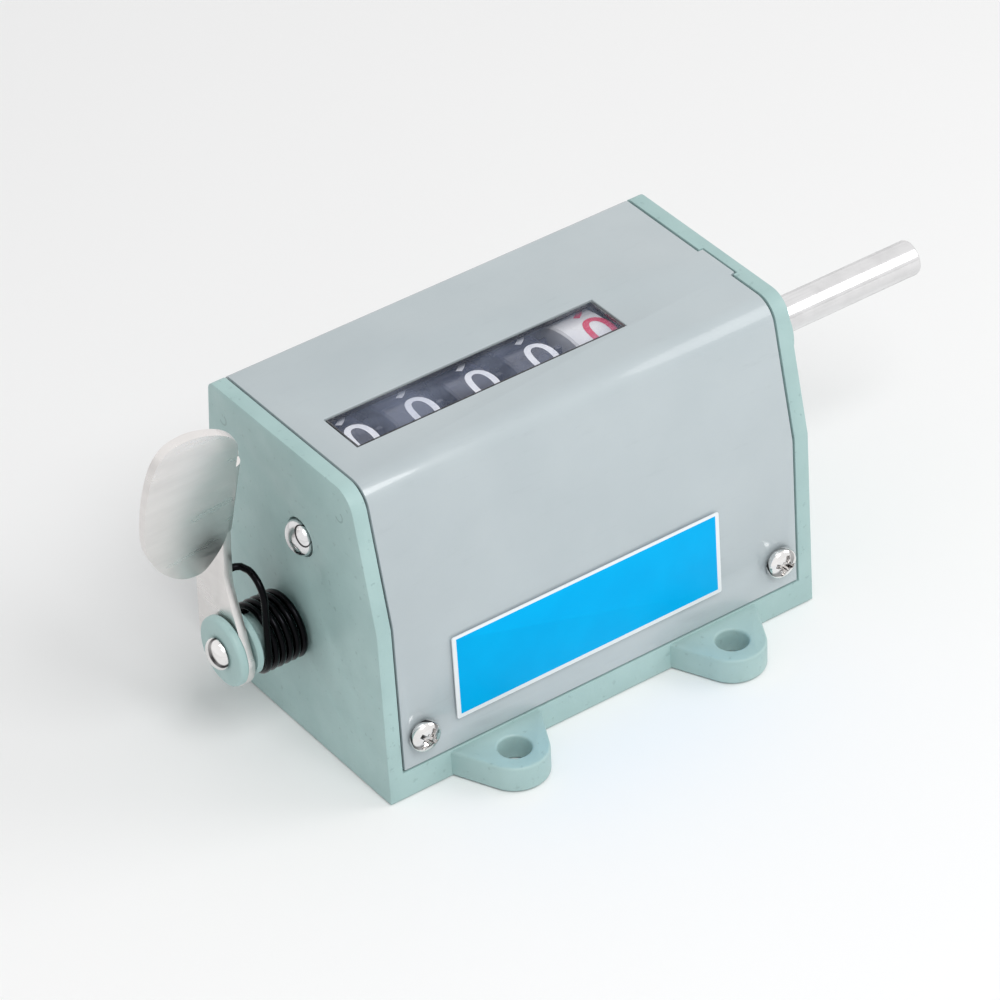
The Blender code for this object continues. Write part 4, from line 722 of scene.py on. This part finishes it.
def spring_route():
    """The wire's line: the leg at the plate, the curls and the tail at the lever."""
    each = 40
    start = -HALF_LENGTH - GAP - 0.00065
    coil = []
    for number in range(round(CURLS * each) + 1):
        turn = math.pi + 2 * math.pi * (CURLS - number / each)
        coil.append(Vector((start - COIL_PITCH * number / each,
                            RESET[0] + COIL_RADIUS * math.cos(turn),
                            RESET[1] + COIL_RADIUS * math.sin(turn))))
    leg = [coil[0] + Vector((0, 0.0072 * share, 0)) for share in (1, 0.75, 0.5, 0.25)]
    last = coil[-1]
    rise = [last + Vector((0, 0, 0.0105 * share)) for share in (0.25, 0.5, 0.75, 1)]
    round_off = 0.0040
    centre = rise[-1] + Vector((0, round_off, 0))
    hook = [centre + Vector((0, -round_off * math.cos(turn), round_off * math.sin(turn)))
            for turn in (math.radians(deg) for deg in range(9, 91, 9))]
    corner = hook[-1] + Vector((-0.0004, 0.0016, 0))
    tip = Vector((-0.0522, corner.y + 0.0006, corner.z))
    return leg + coil + rise + hook + [corner, (corner + tip) / 2 + Vector((0, 0.0002, 0)), tip]


def make_spring():
    """The black torsion spring, which winds up as the lever turns; its wire is drawn in one fixed
    shape, on no body.
    """
    route = spring_route()
    curve = bpy.data.curves.new("spring", "CURVE")
    curve.dimensions = "3D"
    curve.bevel_depth = WIRE_RADIUS
    curve.bevel_resolution = 3
    curve.use_fill_caps = True
    line = curve.splines.new("POLY")
    line.points.add(len(route) - 1)
    for point, spot in zip(line.points, route):
        point.co = (*spot, 1)
    spring = new_piece("spring_wire", drawn_mesh(curve))
    finish_piece(spring, SPRING_STEEL, None, "reset_spring")
    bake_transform(spring)


def make_number(digit, wheel, right):
    """One printed number, bent round its drum."""
    text = bpy.data.curves.new("number", "FONT")
    text.body = str(digit)
    text.size = NUMBER_SIZE
    text.align_x = "CENTER"
    text.align_y = "CENTER"
    text.offset = 0.00002
    text.resolution_u = 6
    mesh = drawn_mesh(text)
    work = bmesh.new()
    work.from_mesh(mesh)
    bmesh.ops.remove_doubles(work, verts=work.verts, dist=0.000001)
    spots = [vert.co for vert in work.verts]
    middle = [(min(s[i] for s in spots) + max(s[i] for s in spots)) / 2 for i in (0, 1)]
    for height in range(-9, 10):
        bmesh.ops.bisect_plane(work, geom=work.verts[:] + work.edges[:] + work.faces[:],
                               plane_co=(0, middle[1] + height * 0.0004, 0),
                               plane_no=(0, 1, 0), dist=0.0000001)
    angle = math.radians(NUMBER_TURN + 36 * digit)
    reach = DRUM_RADIUS + 0.00009
    for vert in work.verts:
        turn = angle - (vert.co.y - middle[1]) / DRUM_RADIUS
        across = (vert.co.x - middle[0]) * NUMBER_WIDTH
        vert.co = (right - NUMBER_INSET + across, MAIN[0] + reach * math.cos(turn),
                   MAIN[1] + reach * math.sin(turn))
    work.to_mesh(mesh)
    work.free()
    piece = new_piece("number_%s_%d" % (wheel, digit), mesh)
    finish_piece(piece, RED_INK if wheel == "units" else WHITE_INK, wheel)


def make_drums():
    """A smooth round face on each number wheel, with its ten numbers."""
    for place, wheel in enumerate(WHEELS):
        right = UNITS_RIGHT - place * DRUM_PITCH
        ends = (right + 0.00002, right - DRUM_WIDTH - 0.00002)
        outer, edge = DRUM_RADIUS + 0.00005, 0.00035
        skin = turned("drum_" + wheel, [(outer - edge, ends[0]), (outer, ends[0] - edge),
                                        (outer, ends[1] + edge), (outer - edge, ends[1]),
                                        (outer - 0.0004, ends[1]), (outer - 0.0004, ends[0])],
                      MAIN, 120, closed=True)
        finish_piece(skin, DRUM_WHITE if wheel == "units" else DRUM_BLACK, wheel)
        for digit in range(10):
            make_number(digit, wheel, right)


def dress_inner_nodes():
    """Finishes for the CAD pieces that keep their shape, most of them inside the case."""
    finishes = (("number_wheel_units", DRUM_WHITE), ("number_wheel", DRUM_BLACK),
                ("transfer_pinion_rod", STEEL), ("transfer_pinion", BRASS),
                ("bearing_bracket", ZINC), ("bail_arm", ZINC), ("bracket_screw", BRIGHT),
                ("collar_grub_screw", SPRING_STEEL), ("units_drive_gear", BRASS),
                ("counter_gear", BRASS), ("drive_pinion_pin", STEEL), ("drive_pinion", BRASS))
    for name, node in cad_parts.items():
        fitting = [finish for start, finish in finishes if name.startswith(start)]
        node.data.materials.clear()
        node.data.materials.append(fitting[0] if fitting else ZINC)


def make_light(name, spot, size, power):
    """A round soft lamp, aimed at the counter."""
    lamp = bpy.data.lights.new(name, "AREA")
    lamp.shape = "DISK"
    lamp.size = size
    lamp.energy = power
    held = new_piece(name, lamp)
    held.location = spot
    aim = Vector((0, 0, 0.03)) - Vector(spot)
    held.rotation_euler = aim.to_track_quat("-Z", "Y").to_euler()


def make_studio():
    """A pale floor, a white background and soft lamps."""
    floor = block("floor", (-2.5, -2.5, -0.02), (2.5, 2.5, -0.0002))
    paint = Paint("floor_paper", (0.93, 0.93, 0.93), 0.85)
    shade = paint.shade(Base_Color=paint.mix(paint.noise(9, 2), (0.94, 0.94, 0.94),
                                             (0.925, 0.925, 0.925)))
    floor.data.materials.append(shade)
    world = bpy.data.worlds.new("studio")
    bpy.context.scene.world = world
    world.use_nodes = True
    tree = world.node_tree
    sky = tree.nodes["Background"]
    sky.inputs["Color"].default_value = (1, 1, 1, 1)
    rays = tree.nodes.new("ShaderNodeLightPath")
    last = rays.outputs["Is Camera Ray"]
    for kind in ("Is Glossy Ray", "Is Transmission Ray"):
        either = tree.nodes.new("ShaderNodeMath")
        either.operation = "MAXIMUM"
        tree.links.new(last, either.inputs[0])
        tree.links.new(rays.outputs[kind], either.inputs[1])
        last = either.outputs[0]
    level = tree.nodes.new("ShaderNodeMapRange")
    tree.links.new(last, level.inputs[0])
    daylight, background = 0.62, 1.0
    level.inputs[3].default_value, level.inputs[4].default_value = daylight, background
    tree.links.new(level.outputs[0], sky.inputs["Strength"])
    make_light("key", (-0.10, -0.55, 0.80), 0.45, 3.6)
    make_light("fill", (0.65, -0.35, 0.45), 0.50, 1.4)


def make_camera():
    """The photograph's view: turned to the left end and looking down, rolled a little."""
    turn, rise, roll = (math.radians(degrees) for degrees in (-34.47, 36.73, 2.58))
    back = Vector((math.sin(turn) * math.cos(rise), -math.cos(turn) * math.cos(rise),
                   math.sin(rise)))
    right = Vector((0, 0, 1)).cross(back).normalized()
    up = back.cross(right)
    across = right * math.cos(roll) - up * math.sin(roll)
    above = right * math.sin(roll) + up * math.cos(roll)
    lens = bpy.data.cameras.new("camera")
    lens.sensor_width, focal_pixels, picture_pixels = 36, 5409, 1000
    lens.lens = focal_pixels * lens.sensor_width / picture_pixels
    lens.shift_x, lens.shift_y = -0.0117, -0.0124
    lens.clip_start, lens.clip_end = 0.05, 20
    camera = new_piece("camera", lens)
    place = Matrix((across, above, back)).transposed().to_4x4()
    place.translation = Vector((0, 0, 0.0285)) + back * 0.8696
    camera.matrix_world = place
    bpy.context.scene.camera = camera


dress_inner_nodes()
make_casting()
make_cover()
make_label()
for end_y, end in ((-1, "front"), (1, "rear")):
    for hand_x, hand in ((-1, "left"), (1, "right")):
        make_screw("cover_screw_%s_%s" % (end, hand), hand_x, end_y)
make_shaft()
make_lever_fittings()
make_lever()
make_spring()
make_drums()
make_studio()
make_camera()
bpy.context.scene.view_settings.view_transform = "Standard"
